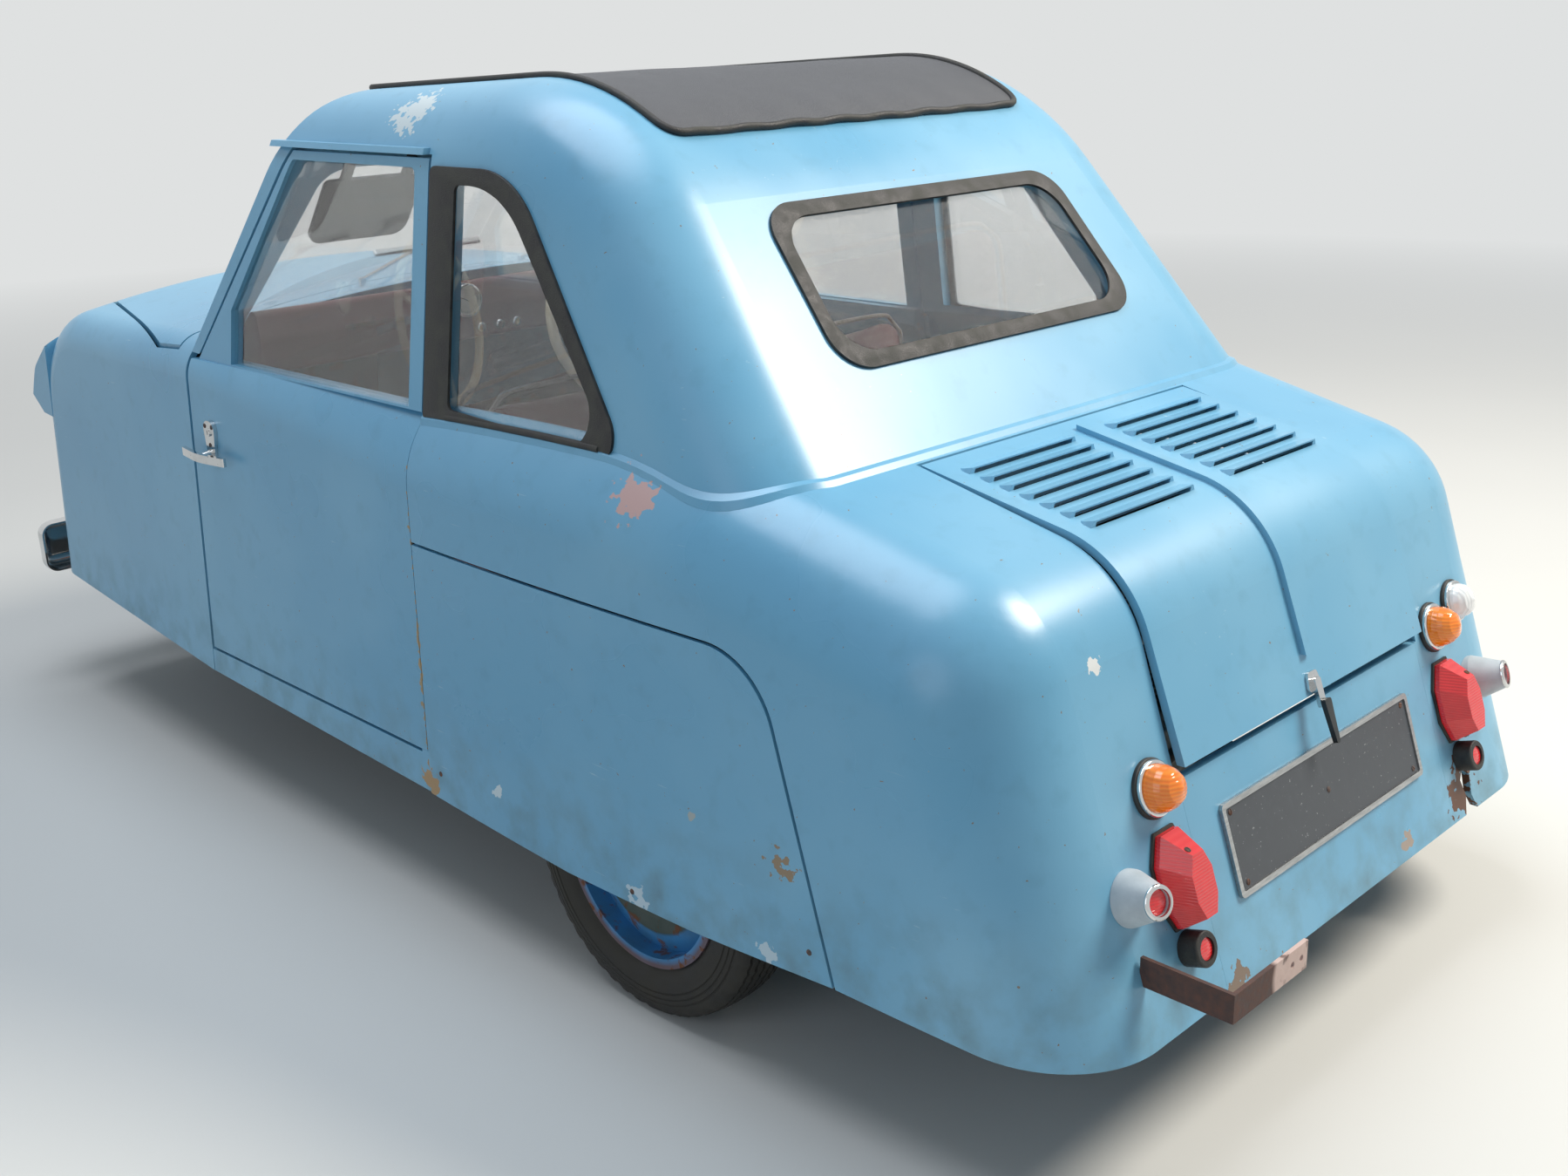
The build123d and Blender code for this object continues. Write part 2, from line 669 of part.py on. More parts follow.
def make_cab():
    """Roof, pillars, quarters and rear panel with their openings, on the lower body."""
    shell = CAB_SHELL - side_slab(screen_profile(0), -OUTSIDE_X, OUTSIDE_X)
    opening = slab_on(screen_plane(), screen_rows(0), -60, 60) - middle_solid(-SCREEN_FRAME)
    surround = (CAB & screen_layer(-SCREEN_FRAME_DEPTH, 0)) - opening
    surround = surround - side_slab(screen_profile(0), -OUTSIDE_X, OUTSIDE_X)
    surround = surround & box(-OUTSIDE_X, OUTSIDE_X, -900, 0, 850, 1400)
    shell = shell + surround
    foot, top = frame_line(PILLAR_FOOT - FRAME_GAP, PILLAR_TOP - FRAME_GAP, 700, DOOR_TOP_Z + 6)
    aperture = [foot, (DOOR_REAR_Y, 700), (DOOR_REAR_Y, DOOR_TOP_Z + 6), top]
    shell = shell - side_slab(aperture, 400, OUTSIDE_X) - side_slab(aperture, -OUTSIDE_X, -400)
    quarter = side_slab(quarter_rows(-WINDOW_LIP), 400, OUTSIDE_X)
    shell = shell - quarter - mirrored(quarter)
    shell = shell - slab_on(REAR_WINDOW_PLANE, rear_window_rows(-WINDOW_LIP), -60, 60)
    hole_half = FABRIC_HALF - ROOF_HOLE_MARGIN
    hole_front = FABRIC_FRONT_Y + ROOF_HOLE_MARGIN
    hole_rear = FABRIC_REAR_Y - ROOF_HOLE_MARGIN
    shell = shell - plan_slab([(-hole_half, hole_front, 40), (hole_half, hole_front, 40), (hole_half, hole_rear, 60),
                               (-hole_half, hole_rear, 60)], 1250, 1500)
    shell = shell - (NOSE + MIDDLE + TAIL)
    shell = shell & box(-OUTSIDE_X, OUTSIDE_X, -700, 1200, 790, 1500)
    bead = (cab_solid(-BEAD) & tail_solid(-BEAD)) - CAB - TAIL
    bead = bead & box(-OUTSIDE_X, OUTSIDE_X, DOOR_REAR_Y, 1200, 700, 1500)
    gutter_z = DOOR_TOP_Z + 6
    gutter = (cab_solid(-GUTTER) - CAB) & box(-OUTSIDE_X, OUTSIDE_X, -352, DOOR_REAR_Y - 8, gutter_z, gutter_z + 10)
    write("cab_shell", shell + bead + gutter + scuttle())


def make_windows():
    """Fixed glass and the rubbers round it."""
    screen = slab_on(screen_plane(), screen_rows(-SEAT_GAP), -SCREEN_INSET, GLASS - SCREEN_INSET)
    write("windscreen", screen - middle_solid(-SCREEN_FRAME - SEAT_GAP))
    glass_margin = -WINDOW_LIP - SEAT_GAP
    rubber_margin = -WINDOW_LIP - RUBBER_WIDTH
    write("rear_window", slab_on(REAR_WINDOW_PLANE, rear_window_rows(glass_margin), -GLASS, 0))
    quarter_glass = (CAB - cab_solid(GLASS)) & side_slab(quarter_rows(glass_margin), 400, OUTSIDE_X)
    write("quarter_windows", pair(quarter_glass - TAIL_LIFTED))
    rear_ring = slab_on(REAR_WINDOW_PLANE, rear_window_rows(0), 0, RUBBER)
    rear_ring = rear_ring - slab_on(REAR_WINDOW_PLANE, rear_window_rows(rubber_margin), -1, RUBBER + 1)
    ring = (cab_solid(-RUBBER) - CAB) & side_slab(quarter_rows(0, QUARTER_RUBBER_Y), 400, OUTSIDE_X)
    ring = ring - side_slab(quarter_rows(rubber_margin), 400, OUTSIDE_X) - tail_solid(-BEAD - 1)
    write("window_rubbers", Compound(children=[*rear_ring.solids(), *pair(ring).solids()]))


def make_wipers():
    """Two wipers standing on the scuttle with their blades on the glass."""
    plane = screen_plane()
    rise = 218
    body = nose_solid(-SEAT_GAP) + middle_solid(-SEAT_GAP)
    wipers = []
    for x in (WIPER_X, WIPER_X - WIPER_STEP):
        left = x - 200
        right = x + 50
        blade = slab_on(plane, [(left, rise - 4, 2), (right, rise - 4, 2), (right, rise + 4, 2),
                                (left, rise + 4, 2)], GLASS - SCREEN_INSET + SEAT_GAP, 2)
        joint = plane.from_local_coords(Vector(x - 75, rise, 4))
        post = rod((x, WIPER_Y, 930), (x, WIPER_Y, 968), 9) - body
        wipers += (blade + post + rod((x, WIPER_Y, 964), joint, 4)).solids()
    write("wipers", Compound(children=wipers))


def make_roof():
    """Roll-back fabric roof laid over the hole in the roof."""
    sheet = cab_solid(-FABRIC - SEAT_GAP) - cab_solid(-SEAT_GAP)
    area = plan_slab([(-FABRIC_HALF, FABRIC_FRONT_Y, 30), (FABRIC_HALF, FABRIC_FRONT_Y, 30),
                      (FABRIC_HALF, FABRIC_REAR_Y, 30), (-FABRIC_HALF, FABRIC_REAR_Y, 30)], 1250, 1500)
    write("soft_roof", sheet & area)


def bonnet_plan(shrink):
    """Bonnet outline in plan, drawn in by a gap."""
    rear = SCUTTLE_FRONT_Y - shrink
    side = BONNET_REAR_HALF - shrink
    return [(-side, rear), (side, rear), (side, BONNET_SIDE_Y),
            (BONNET_FRONT_HALF - shrink, BONNET_FRONT_Y + shrink, 90),
            (-BONNET_FRONT_HALF + shrink, BONNET_FRONT_Y + shrink, 90), (-side, BONNET_SIDE_Y)]


def brow():
    """Peaked hood over the left headlamp, turned about the lamp's own axis."""
    plane = Plane(origin=(LAMP_X, 0, LAMP_Z), x_dir=(0, 1, 0), z_dir=(1, 0, 0))
    hood = revolve(plane * outline(BROW_ROWS), Axis((LAMP_X, 0, LAMP_Z), (0, 1, 0)), 360)
    return hood & side_slab(BROW_CUT, 200, OUTSIDE_X) & nose_sides()


def make_wings():
    """Front wings joined below the bonnet, with a hood over each headlamp."""
    wings = NOSE_SKIN - plan_slab(bonnet_plan(0), 700, 1100)
    wings = wings - box(-OUTSIDE_X, OUTSIDE_X, SCUTTLE_FRONT_Y, DOOR_FRONT_Y + 5, 820, 1100)
    jamb = (NOSE - nose_solid(JAMB_DEPTH)) & box(-OUTSIDE_X, OUTSIDE_X, DOOR_FRONT_Y - SKIN, DOOR_FRONT_Y, RAIL_TOP_Z + FLOOR, 820)
    bowl = rod((LAMP_X, NOSE_FRONT_Y + 34, LAMP_Z), (LAMP_X, NOSE_FRONT_Y - 80, LAMP_Z), LAMP_RADIUS + 1)
    wings = wings + jamb + pair(brow() - nose_solid(SKIN)) - pair(bowl)
    write("front_wings", wings)


def make_bonnet():
    """Bonnet with a hinge leaf on a block at each rear corner."""
    lid = NOSE_SKIN & plan_slab(bonnet_plan(BONNET_GAP), 700, 1100)
    leaf_top = nose_solid(SKIN + SEAT_GAP)
    leaf_foot = nose_solid(SKIN + SEAT_GAP + HINGE_LEAF)
    x0 = BONNET_HINGE_X - 25
    x1 = BONNET_HINGE_X + 25
    leaf = (leaf_top - leaf_foot) & box(x0, x1, SCUTTLE_FRONT_Y - 40, SCUTTLE_FRONT_Y + 30, 820, 1100)
    block = (NOSE - leaf_foot) & box(x0, x1, SCUTTLE_FRONT_Y - 40, SCUTTLE_FRONT_Y - PANEL_GAP, 820, 1100)
    write("bonnet", lid + leaf + block + mirrored(leaf) + mirrored(block))


def make_headlamps():
    """Headlamp bowls with chrome rims, and their lenses."""
    front = NOSE_FRONT_Y - 2
    inner = LAMP_RADIUS - LAMP_RIM
    plane = Plane(origin=(LAMP_X, front, LAMP_Z), x_dir=(1, 0, 0), z_dir=(0, -1, 0))
    body = turned(plane, [(0, -34), (LAMP_RADIUS, -34), (LAMP_RADIUS, 3, 3), (LAMP_RADIUS - 4, 6), (inner, 6),
                          (inner, -26), (0, -26)])
    write("headlamps", pair(body))
    lens = turned(plane, [(0, -22), (inner - SEAT_GAP, -22), (inner - SEAT_GAP, -6), (0, 9)])
    write("headlamp_lenses", pair(lens))


def side_panel_outline(front, gap):
    """Side view of the panel over a rear wheel."""
    return [(front, 100), (SIDE_PANEL_FOOT_Y + 20 - gap, 100),
            (SIDE_PANEL_BEND_Y - gap, SIDE_PANEL_TOP_Z - gap, SIDE_PANEL_RADIUS), (front, SIDE_PANEL_TOP_Z - gap)]


def make_rear_body():
    """Rear wings and deck, the side panels, the panel below the lid."""
    panel_hole = side_slab(side_panel_outline(DOOR_REAR_Y - 1, 0), 500, OUTSIDE_X)
    lid_hole = box(-LID_HALF - PANEL_GAP, LID_HALF + PANEL_GAP, LID_FRONT_Y - PANEL_GAP, 1700,
                   LID_BOTTOM_Z, 1200)
    tail_hole = box(-LID_HALF - SEAT_GAP, LID_HALF + SEAT_GAP, 1200, 1700, 100, LID_BOTTOM_Z)
    jamb = (TAIL - tail_solid(JAMB_DEPTH)) & box(-OUTSIDE_X, OUTSIDE_X, DOOR_REAR_Y, DOOR_REAR_Y + SKIN, RAIL_TOP_Z + FLOOR, 850)
    jamb = jamb - pair(panel_hole - tail_solid(SIDE_PANEL_WALL + SEAT_GAP))
    cabin_hole = cab_solid(CAB_WALL) & box(-OUTSIDE_X, OUTSIDE_X, DOOR_REAR_Y - 5, 900, 700, 1000)
    skin = TAIL_SKIN - panel_hole - mirrored(panel_hole) - lid_hole - tail_hole
    rust_hole = front_slab(RUST_HOLE, 1300, 1600)
    write("rear_shell", skin + jamb - cabin_hole - rust_hole)
    panel = (TAIL - tail_solid(SIDE_PANEL_WALL)) & ABOVE_EDGE
    panel = panel & side_slab(side_panel_outline(DOOR_REAR_Y + SEAT_GAP, PANEL_GAP), 500, OUTSIDE_X)
    write("side_panel_left", panel)
    write("side_panel_right", mirrored(panel))
    below = TAIL_SKIN & box(-LID_HALF, LID_HALF, 1200, 1700, 100, LID_BOTTOM_Z - 1)
    write("tail_panel", below)


def louvre(plane, s):
    """Raised hood open to the tail with sloping ends, and the slot under it, in the deck's own plane."""
    front = s - LOUVRE_DEPTH
    side = Plane(origin=plane.origin, x_dir=plane.y_dir, z_dir=plane.x_dir)
    flip = -1 if (side.y_dir - plane.z_dir).length > 1 else 1
    hood_rows = [(front, -0.5 * flip), (s, -0.5 * flip), (s, LOUVRE_RISE * flip)]
    roof = (LOUVRE_RISE - LOUVRE_WALL) * flip
    slot_rows = [(front + 6, -(SKIN + 2) * flip), (s + 0.5, -(SKIN + 2) * flip), (s + 0.5, roof), (front + 6, 0)]
    x0 = LOUVRE_INNER_X
    x1 = x0 + LOUVRE_LENGTH
    wedge = extrude(side.offset(x0) * outline(hood_rows), LOUVRE_LENGTH, dir=(1, 0, 0))
    foot = [(x0, front, 14), (x1, front, 14), (x1, s + 30), (x0, s + 30)]
    foot = [(a, b * plane_sign(plane), *rest) for a, b, *rest in foot]
    ends = extrude(plane.offset(-0.5) * outline(foot), LOUVRE_RISE + 1, taper=LOUVRE_TAPER)
    slot = extrude(side.offset(x0 + LOUVRE_END) * outline(slot_rows), LOUVRE_LENGTH - 2 * LOUVRE_END, dir=(1, 0, 0))
    return wedge & ends, slot


def plane_sign(plane):
    """Which way the plane's second axis runs along the car."""
    return 1 if plane.y_dir.Y > 0 else -1


def ajar(shape):
    """Turn a closed piece of the rear lid to where the lid rests."""
    return shape.rotate(Axis((0, LID_HINGE_Y, LID_HINGE_Z), (1, 0, 0)), LID_AJAR)


def make_lid():
    """Rear lid with two banks of louvres and a middle rib, resting a little open."""
    lid = TAIL_SKIN & box(-LID_HALF, LID_HALF, LID_FRONT_Y, 1700, LID_BOTTOM_Z + PANEL_GAP, 1200)
    plane = tilted_plane(LOUVRE_FIRST_Y, deck_z(LOUVRE_FIRST_Y), DECK_SLOPE)
    hoods = []
    slots = []
    for index in range(LOUVRE_COUNT):
        hood, slot = louvre(plane, index * LOUVRE_PITCH)
        hoods += [hood, mirrored(hood)]
        slots += [slot, mirrored(slot)]
    rib = (tail_solid(-RIB_RADIUS) - TAIL) & box(-RIB_RADIUS, RIB_RADIUS, LID_FRONT_Y + 30, 1700,
                                                 LID_BOTTOM_Z + 62, 1200)
    lid = lid.fuse(*hoods).fuse(*rib.solids())
    for slot in slots:
        lid = lid - slot
    under = tilted_plane(LID_FRONT_Y, deck_z(LID_FRONT_Y), DECK_SLOPE).offset(-SKIN - SEAT_GAP - HINGE_LEAF)
    x0 = LID_HINGE_X - 20
    x1 = LID_HINGE_X + 20
    leaf = extrude(under * outline([(x0, -30), (x1, -30), (x1, 30), (x0, 30)]), HINGE_LEAF)
    block = extrude(under * outline([(x0, -30), (x1, -30), (x1, 30), (x0, 30)]), HINGE_LEAF + 4)
    block = block & box(0, OUTSIDE_X, LID_FRONT_Y, 1000, 700, 900)
    lid = lid.fuse(leaf, block, mirrored(leaf), mirrored(block))
    write("engine_lid", ajar(lid))


def make_catch():
    """Chrome hook on the lid's lower edge, and the black lever that hangs from it."""
    plane = rear_plane(0, CATCH_Z)
    foot = slab_on(plane, [(-19, -12, 5), (19, -12, 5), (12, 16, 6), (-12, 16, 6)], SEAT_GAP, 5)
    hook = slab_on(plane, [(-7, -38, 4), (7, -38, 4), (8, 6, 4), (-8, 6, 4)], 4.5, 11.2)
    write("lid_catch", ajar(foot + hook))
    lever = slab_on(plane, [(-9, -26, 4), (-4, -92, 3), (4, -92, 3), (9, -26, 4)], 11.5, 19)
    write("catch_lever", ajar(lever))


def rear_plane(x, z, turn=0):
    """Plane on the leaning rear face, its second axis up the face, turned outward by an angle."""
    across = math.radians(turn) * (1 if x > 0 else -1)
    lean = math.radians(REAR_LEAN)
    out = Vector(math.sin(across), math.cos(lean) * math.cos(across), math.sin(lean) * math.cos(across))
    up = Vector(0, -math.sin(lean), math.cos(lean))
    return Plane(origin=(x, rear_y(z), z), x_dir=up.cross(out), z_dir=out)


def turned(plane, rows):
    """Solid turned about a plane's own axis from (radius, height, rounding) rows."""
    return plane.location * revolve(Plane.XZ * outline(rows), Axis.Z, 360)


def ribbed(radius, foot, height, rings):
    """Rows of a domed lens with rings round it."""
    rows = [(0, foot), (radius, foot), (radius, foot + 5)]
    for index in range(rings):
        share = (index + 1) / (rings + 1)
        level = foot + 5 + (height - 5) * share
        reach = radius * math.sqrt(1 - share ** 2)
        rows += [(reach + 1.5 * share, level - 1.2), (reach, level)]
    return [*rows, (0, foot + height)]


def cap(radius, height):
    """Rows of a round base that starts inside the body."""
    return [(0, LAMP_ROOT), (radius, LAMP_ROOT), (radius, height, 2), (0, height)]


def ring(inner, outer, foot, height):
    """Rows of a flat ring with a rounded outer edge."""
    return [(inner, foot), (outer, foot), (outer, foot + height, 3), (inner, foot + height)]


def octagon(plane, low, high, scale):
    """Eight-sided outline of the red lamp, between two heights up the face."""
    half = (high - low) / 2
    middle = (high + low) / 2
    rows = [(-38, -26), (-20, -62), (20, -62), (38, -26), (38, 26), (20, 62), (-20, 62), (-38, 26)]
    return plane * outline([(a * scale, middle + b * half / 62) for a, b in rows])


def make_rear_lamps():
    """Lamps and reflectors on the tail; a row of the table is one turned piece."""
    amber_rings = 4
    clear_rings = 3
    table = [
        ("lamp_bases", AMBER, 0, True, cap(40, 6)),
        ("lamp_rings", AMBER, 0, True, ring(32.3, 37.5, 6.3, 6)),
        ("amber_lamps", AMBER, 0, True, ribbed(32, 6.3, 44, amber_rings)),
        ("lamp_bases", REVERSING, 0, False, cap(36, 6)),
        ("lamp_rings", REVERSING, 0, False, ring(28.3, 33.5, 6.3, 6)),
        ("reversing_lamp", REVERSING, 0, False, ribbed(28, 6.3, 34, clear_rings)),
        ("reflector_housings", OUTER, OUTER_TURN, True,
         [(0, LAMP_ROOT), (37, LAMP_ROOT), (37, 6, 3), (22, 52), (17.3, 52), (17.3, 44), (0, 44)]),
        ("lamp_rings", OUTER, OUTER_TURN, True, ring(17.3, 23, 52.3, 4)),
        ("rear_reflectors", OUTER, OUTER_TURN, True, [(0, 44.3), (17, 44.3), (17, 49, 2), (0, 51)]),
        ("lamp_bases", LOW, 0, True, [(0, LAMP_ROOT), (24, LAMP_ROOT), (24, 30, 3), (15.3, 30), (15.3, 24), (0, 24)]),
        ("rear_reflectors", LOW, 0, True, [(0, 24.3), (15, 24.3), (15, 27, 1), (0, 28)]),
    ]
    nodes = {}
    for node, (x, z), turn, both, rows in table:
        shape = turned(rear_plane(x, z, turn), rows) - TAIL_LIFTED
        nodes.setdefault(node, [])
        if both:
            nodes[node] += shape.solids()
        nodes[node] += mirrored(shape).solids()
    plane = rear_plane(*RED)
    gasket = extrude(octagon(plane.offset(LAMP_ROOT), -66, 66, 1.1), 4 - LAMP_ROOT) - TAIL_LIFTED
    nodes["lamp_bases"] += pair(gasket).solids()
    foot = octagon(plane.offset(4.3), -62, 62, 1)
    body = extrude(foot, 8)
    prow = Solid.make_loft([octagon(plane.offset(12.3), -62, 62, 1).outer_wire(),
                            octagon(plane.offset(48), -50, 34, 0.6).outer_wire()], True)
    nodes["tail_lamps"] = pair(body + prow).solids()
    front = Plane(origin=(LAMP_X, NOSE_FRONT_Y, FRONT_LAMP_Z), x_dir=(1, 0, 0), z_dir=(0, -1, 0))
    nodes["amber_lamps"] += pair(turned(front, ribbed(26, SEAT_GAP, 24, clear_rings))).solids()
    for node, solids in nodes.items():
        write(node, Compound(children=solids))


def make_tail_fittings():
    """Blank plate in its border, and the one bracket left of the rear bumper."""
    plane = rear_plane(0, PLATE_Z)

    def plate_rows(draw, radius):
        half = PLATE_HALF - draw
        high = PLATE_HALF_HEIGHT - draw
        return [(-half, -high, radius), (half, -high, radius), (half, high, radius), (-half, high, radius)]

    write("number_plate", slab_on(plane, plate_rows(PLATE_BORDER + SEAT_GAP, 4), SEAT_GAP, 3.5))
    border = slab_on(plane, plate_rows(0, 8), SEAT_GAP, 6) - slab_on(plane, plate_rows(PLATE_BORDER, 4), -1, 9)
    write("plate_frame", border)
    foot = box(330, 506, BRACKET_Y - 6, BRACKET_Y, 288, 328)
    inner_y = rear_y(312) + 2
    link = plan_slab([(500, inner_y), (506, inner_y), (506, BRACKET_Y), (500, BRACKET_Y)], 288, 328)
    bracket = foot + link
    for x in BRACKET_HOLE_X:
        bracket = bracket - rod((x, BRACKET_Y - 20, 308), (x, BRACKET_Y + 20, 308), 4.5)
    write("bumper_bracket", bracket - TAIL)


def make_bumper():
    """Front bumper: rounded blade, open behind, on two stays."""

    def blade(draw):
        half = BUMPER_HALF - draw
        high = BUMPER_HALF_HEIGHT - draw
        rear = BUMPER_REAR_Y + (20 if draw else 0)
        form = box(-half, half, BUMPER_FRONT_Y + draw, rear, BUMPER_Z - high, BUMPER_Z + high)
        ends = form.edges().filter_by(Axis.Z).group_by(Axis.Y)[0]
        form = form.fillet(BUMPER_END_RADIUS - draw, ends)
        rims = [edge for edge in form.edges() if abs(abs(edge.center().Z - BUMPER_Z) - high) < 1
                and edge.center().Y < rear - 1]
        return form.fillet(BUMPER_EDGE_RADIUS - draw, rims)

    stay = box(300, 340, BUMPER_FRONT_Y + BUMPER_WALL, NOSE_FRONT_Y, BUMPER_Z - 20, BUMPER_Z + 20)
    write("front_bumper", blade(0) - blade(BUMPER_WALL) + stay + mirrored(stay))


def wheel_ring(rows):
    """Solid of revolution about a wheel's axle from rows of offset and radius."""
    return revolve(Plane.XY * outline(rows), Axis.X)


def place_wheel(shape, x, y):
    """Move a wheel piece to its hub."""
    return Pos(x, y, AXLE_Z) * shape


def make_wheel(name, x, y, out):
    """Tyre, and rim with its dished disc and hub cap."""
    half = TYRE_WIDTH / 2
    bead = RIM_RADIUS + SEAT_GAP
    tyre_rows = [(-40, bead), (40, bead), (40, RIM_RADIUS + 7), (half - 5, RIM_RADIUS + 16),
                 (half, RIM_RADIUS + 46, 34), (half - 10, TYRE_RADIUS, 14), (-half + 10, TYRE_RADIUS, 14),
                 (-half, RIM_RADIUS + 46, 34), (-half + 5, RIM_RADIUS + 16), (-40, RIM_RADIUS + 7)]
    tyre = wheel_ring(tyre_rows)
    barrel = wheel_ring([(-46, RIM_RADIUS - 10), (46, RIM_RADIUS - 10), (46, RIM_RADIUS + 6), (41, RIM_RADIUS + 6),
                         (41, RIM_RADIUS), (-41, RIM_RADIUS), (-41, RIM_RADIUS + 6), (-46, RIM_RADIUS + 6)])
    disc = wheel_ring([(out * 4, 24), (out * 14, 24), (out * 14, 60), (out * 28, 96), (out * 28, 118),
                       (out * 14, RIM_RADIUS - 9), (out * 4, RIM_RADIUS - 9), (out * 18, 118), (out * 18, 98),
                       (out * 4, 62)])
    if x:
        hub = wheel_ring([(-30 * out, 12), (16 * out, 12), (16 * out, 30), (-30 * out, 30)])
        hub = hub + wheel_ring([(14 * out, 0), (42 * out, 0), (40 * out, 30), (33 * out, 66), (28 * out, 74),
                                (14 * out, 74)])
    else:
        hub = wheel_ring([(-62, 12), (62, 12), (62, 30), (-62, 30)])
    write(f"{name}_tyre", place_wheel(tyre, x, y))
    write(f"{name}_rim", place_wheel(barrel + disc + hub, x, y))


def make_wheels():
    """One steered wheel in front and two behind."""
    make_wheel("front", 0, FRONT_AXLE_Y, 1)
    make_wheel("rear_left", REAR_TRACK / 2, REAR_AXLE_Y, 1)
    make_wheel("rear_right", -REAR_TRACK / 2, REAR_AXLE_Y, -1)


def make_fork():
    """Steering stem, crown and two legs down to the front axle."""
    stem = rod((0, STEER_Y, FORK_CROWN_Z), (0, STEER_Y, STEER_HEAD_Z1 + 10), STEER_STEM)
    crown = box(-FORK_HALF, FORK_HALF, STEER_Y - 32, STEER_Y + 32, FORK_CROWN_Z - 18, FORK_CROWN_Z)
    leg_rows = [(STEER_Y - 30, FORK_CROWN_Z), (STEER_Y + 30, FORK_CROWN_Z), (FRONT_AXLE_Y + 26, AXLE_Z, 18),
                (FRONT_AXLE_Y + 10, AXLE_Z - 26, 18), (FRONT_AXLE_Y - 26, AXLE_Z - 10, 18)]
    leg = side_slab(leg_rows, FORK_HALF - FORK_PLATE, FORK_HALF)
    axle = rod((-FORK_HALF - 14, FRONT_AXLE_Y, AXLE_Z), (FORK_HALF + 14, FRONT_AXLE_Y, AXLE_Z), 11)
    nut = rod((FORK_HALF, FRONT_AXLE_Y, AXLE_Z), (FORK_HALF + 12, FRONT_AXLE_Y, AXLE_Z), 17)
    fork = stem + crown + leg + mirrored(leg) + axle + nut + mirrored(nut)
    write("front_fork", fork)


def make_chassis():
    """Ladder frame with the steering head in front and the engine bearers behind."""
    low = RAIL_TOP_Z - RAIL_HEIGHT
    rail = box(RAIL_X - RAIL_WIDTH / 2, RAIL_X + RAIL_WIDTH / 2, BULKHEAD_Y - 22, 1330, low, RAIL_TOP_Z)
    frame = rail + mirrored(rail)
    for y in (BULKHEAD_Y - 22, -200, REAR_BULKHEAD_Y - 60, 860, 1290):
        frame = frame + box(-RAIL_X, RAIL_X, y, y + RAIL_WIDTH, low, RAIL_TOP_Z)
    post = box(120, 160, BULKHEAD_Y - 22, BULKHEAD_Y - 0.5, low, 690)
    arm = side_slab([(BULKHEAD_Y - 0.5, 640), (BULKHEAD_Y - 0.5, 700), (STEER_Y + 10, STEER_HEAD_Z1 - 10),
                     (STEER_Y + 10, STEER_HEAD_Z0 + 10)], -30, 30)
    bridge = box(-160, 160, BULKHEAD_Y - 22, BULKHEAD_Y - 0.5, 640, 700)
    head = rod((0, STEER_Y, STEER_HEAD_Z0), (0, STEER_Y, STEER_HEAD_Z1), STEER_STEM + 12)
    bore = rod((0, STEER_Y, STEER_HEAD_Z0 - 5), (0, STEER_Y, STEER_HEAD_Z1 + 5), STEER_STEM + 0.5)
    frame = frame + post + mirrored(post) + bridge + arm + head - bore
    write("chassis", frame)


def wheel_room(gap):
    """Space round the left rear wheel."""
    inner = ARCH_INNER_X + (ARCH_GAP + ARCH_WALL - gap)
    return rod((inner, REAR_AXLE_Y, AXLE_Z), (720, REAR_AXLE_Y, AXLE_Z), TYRE_RADIUS + gap)


def make_floor():
    """Floor on the rails with the toe board, and the sills under the doors."""
    floor = box(-640, 640, BULKHEAD_Y, REAR_BULKHEAD_Y, RAIL_TOP_Z, RAIL_TOP_Z + FLOOR)
    floor = floor & (middle_solid(SILL_WALL + SEAT_GAP) + nose_solid(SKIN + 1) + tail_solid(SKIN + 1))
    board = box(-DASH_HALF, DASH_HALF, BULKHEAD_Y, BULKHEAD_Y + FLOOR, RAIL_TOP_Z, 850)
    room = wheel_room(ARCH_GAP + ARCH_WALL + 1)
    write("floor_pan", floor + board - room - mirrored(room))
    front = DOOR_FRONT_Y + 1
    rear = DOOR_REAR_Y - 1
    sill = (MIDDLE - middle_solid(SILL_WALL)) & ABOVE_EDGE
    sill = sill & side_slab([(front, 150), (rear, 150), (rear, SILL_TOP_Z), (front, SILL_TOP_Z)], 300, OUTSIDE_X)
    hinge_y = DOOR_REAR_Y - REAR_SHUT_GAP - HINGE_SETBACK
    foot = rod((HINGE_X, hinge_y, SILL_TOP_Z - 4), (HINGE_X, hinge_y, DOOR_BOTTOM_Z - SEAT_GAP), HINGE_FOOT_RADIUS)
    foot = foot & MIDDLE & box(300, OUTSIDE_X, -900, rear, 0, 900)
    write("sills", pair(sill + foot))


def make_bulkhead():
    """Wall behind the seat, shelf above it and the inner rear wheel arches."""
    wall = box(-620, 620, REAR_BULKHEAD_Y, REAR_BULKHEAD_Y + FLOOR, RAIL_TOP_Z, SHELF_Z)
    shelf = box(-600, 600, REAR_BULKHEAD_Y, 840, SHELF_Z - FLOOR, SHELF_Z)
    room = wheel_room(ARCH_GAP)
    arch = wheel_room(ARCH_GAP + ARCH_WALL) & box(0, OUTSIDE_X, 0, 1100, RAIL_TOP_Z + FLOOR, 900)
    slot = box(400, 560, REAR_AXLE_Y - 60, REAR_AXLE_Y + 60, 100, AXLE_Z + 70)
    piece = wall + shelf + arch + mirrored(arch) - room - mirrored(room) - slot - mirrored(slot)
    write("rear_bulkhead", piece & tail_solid(SKIN + SEAT_GAP))


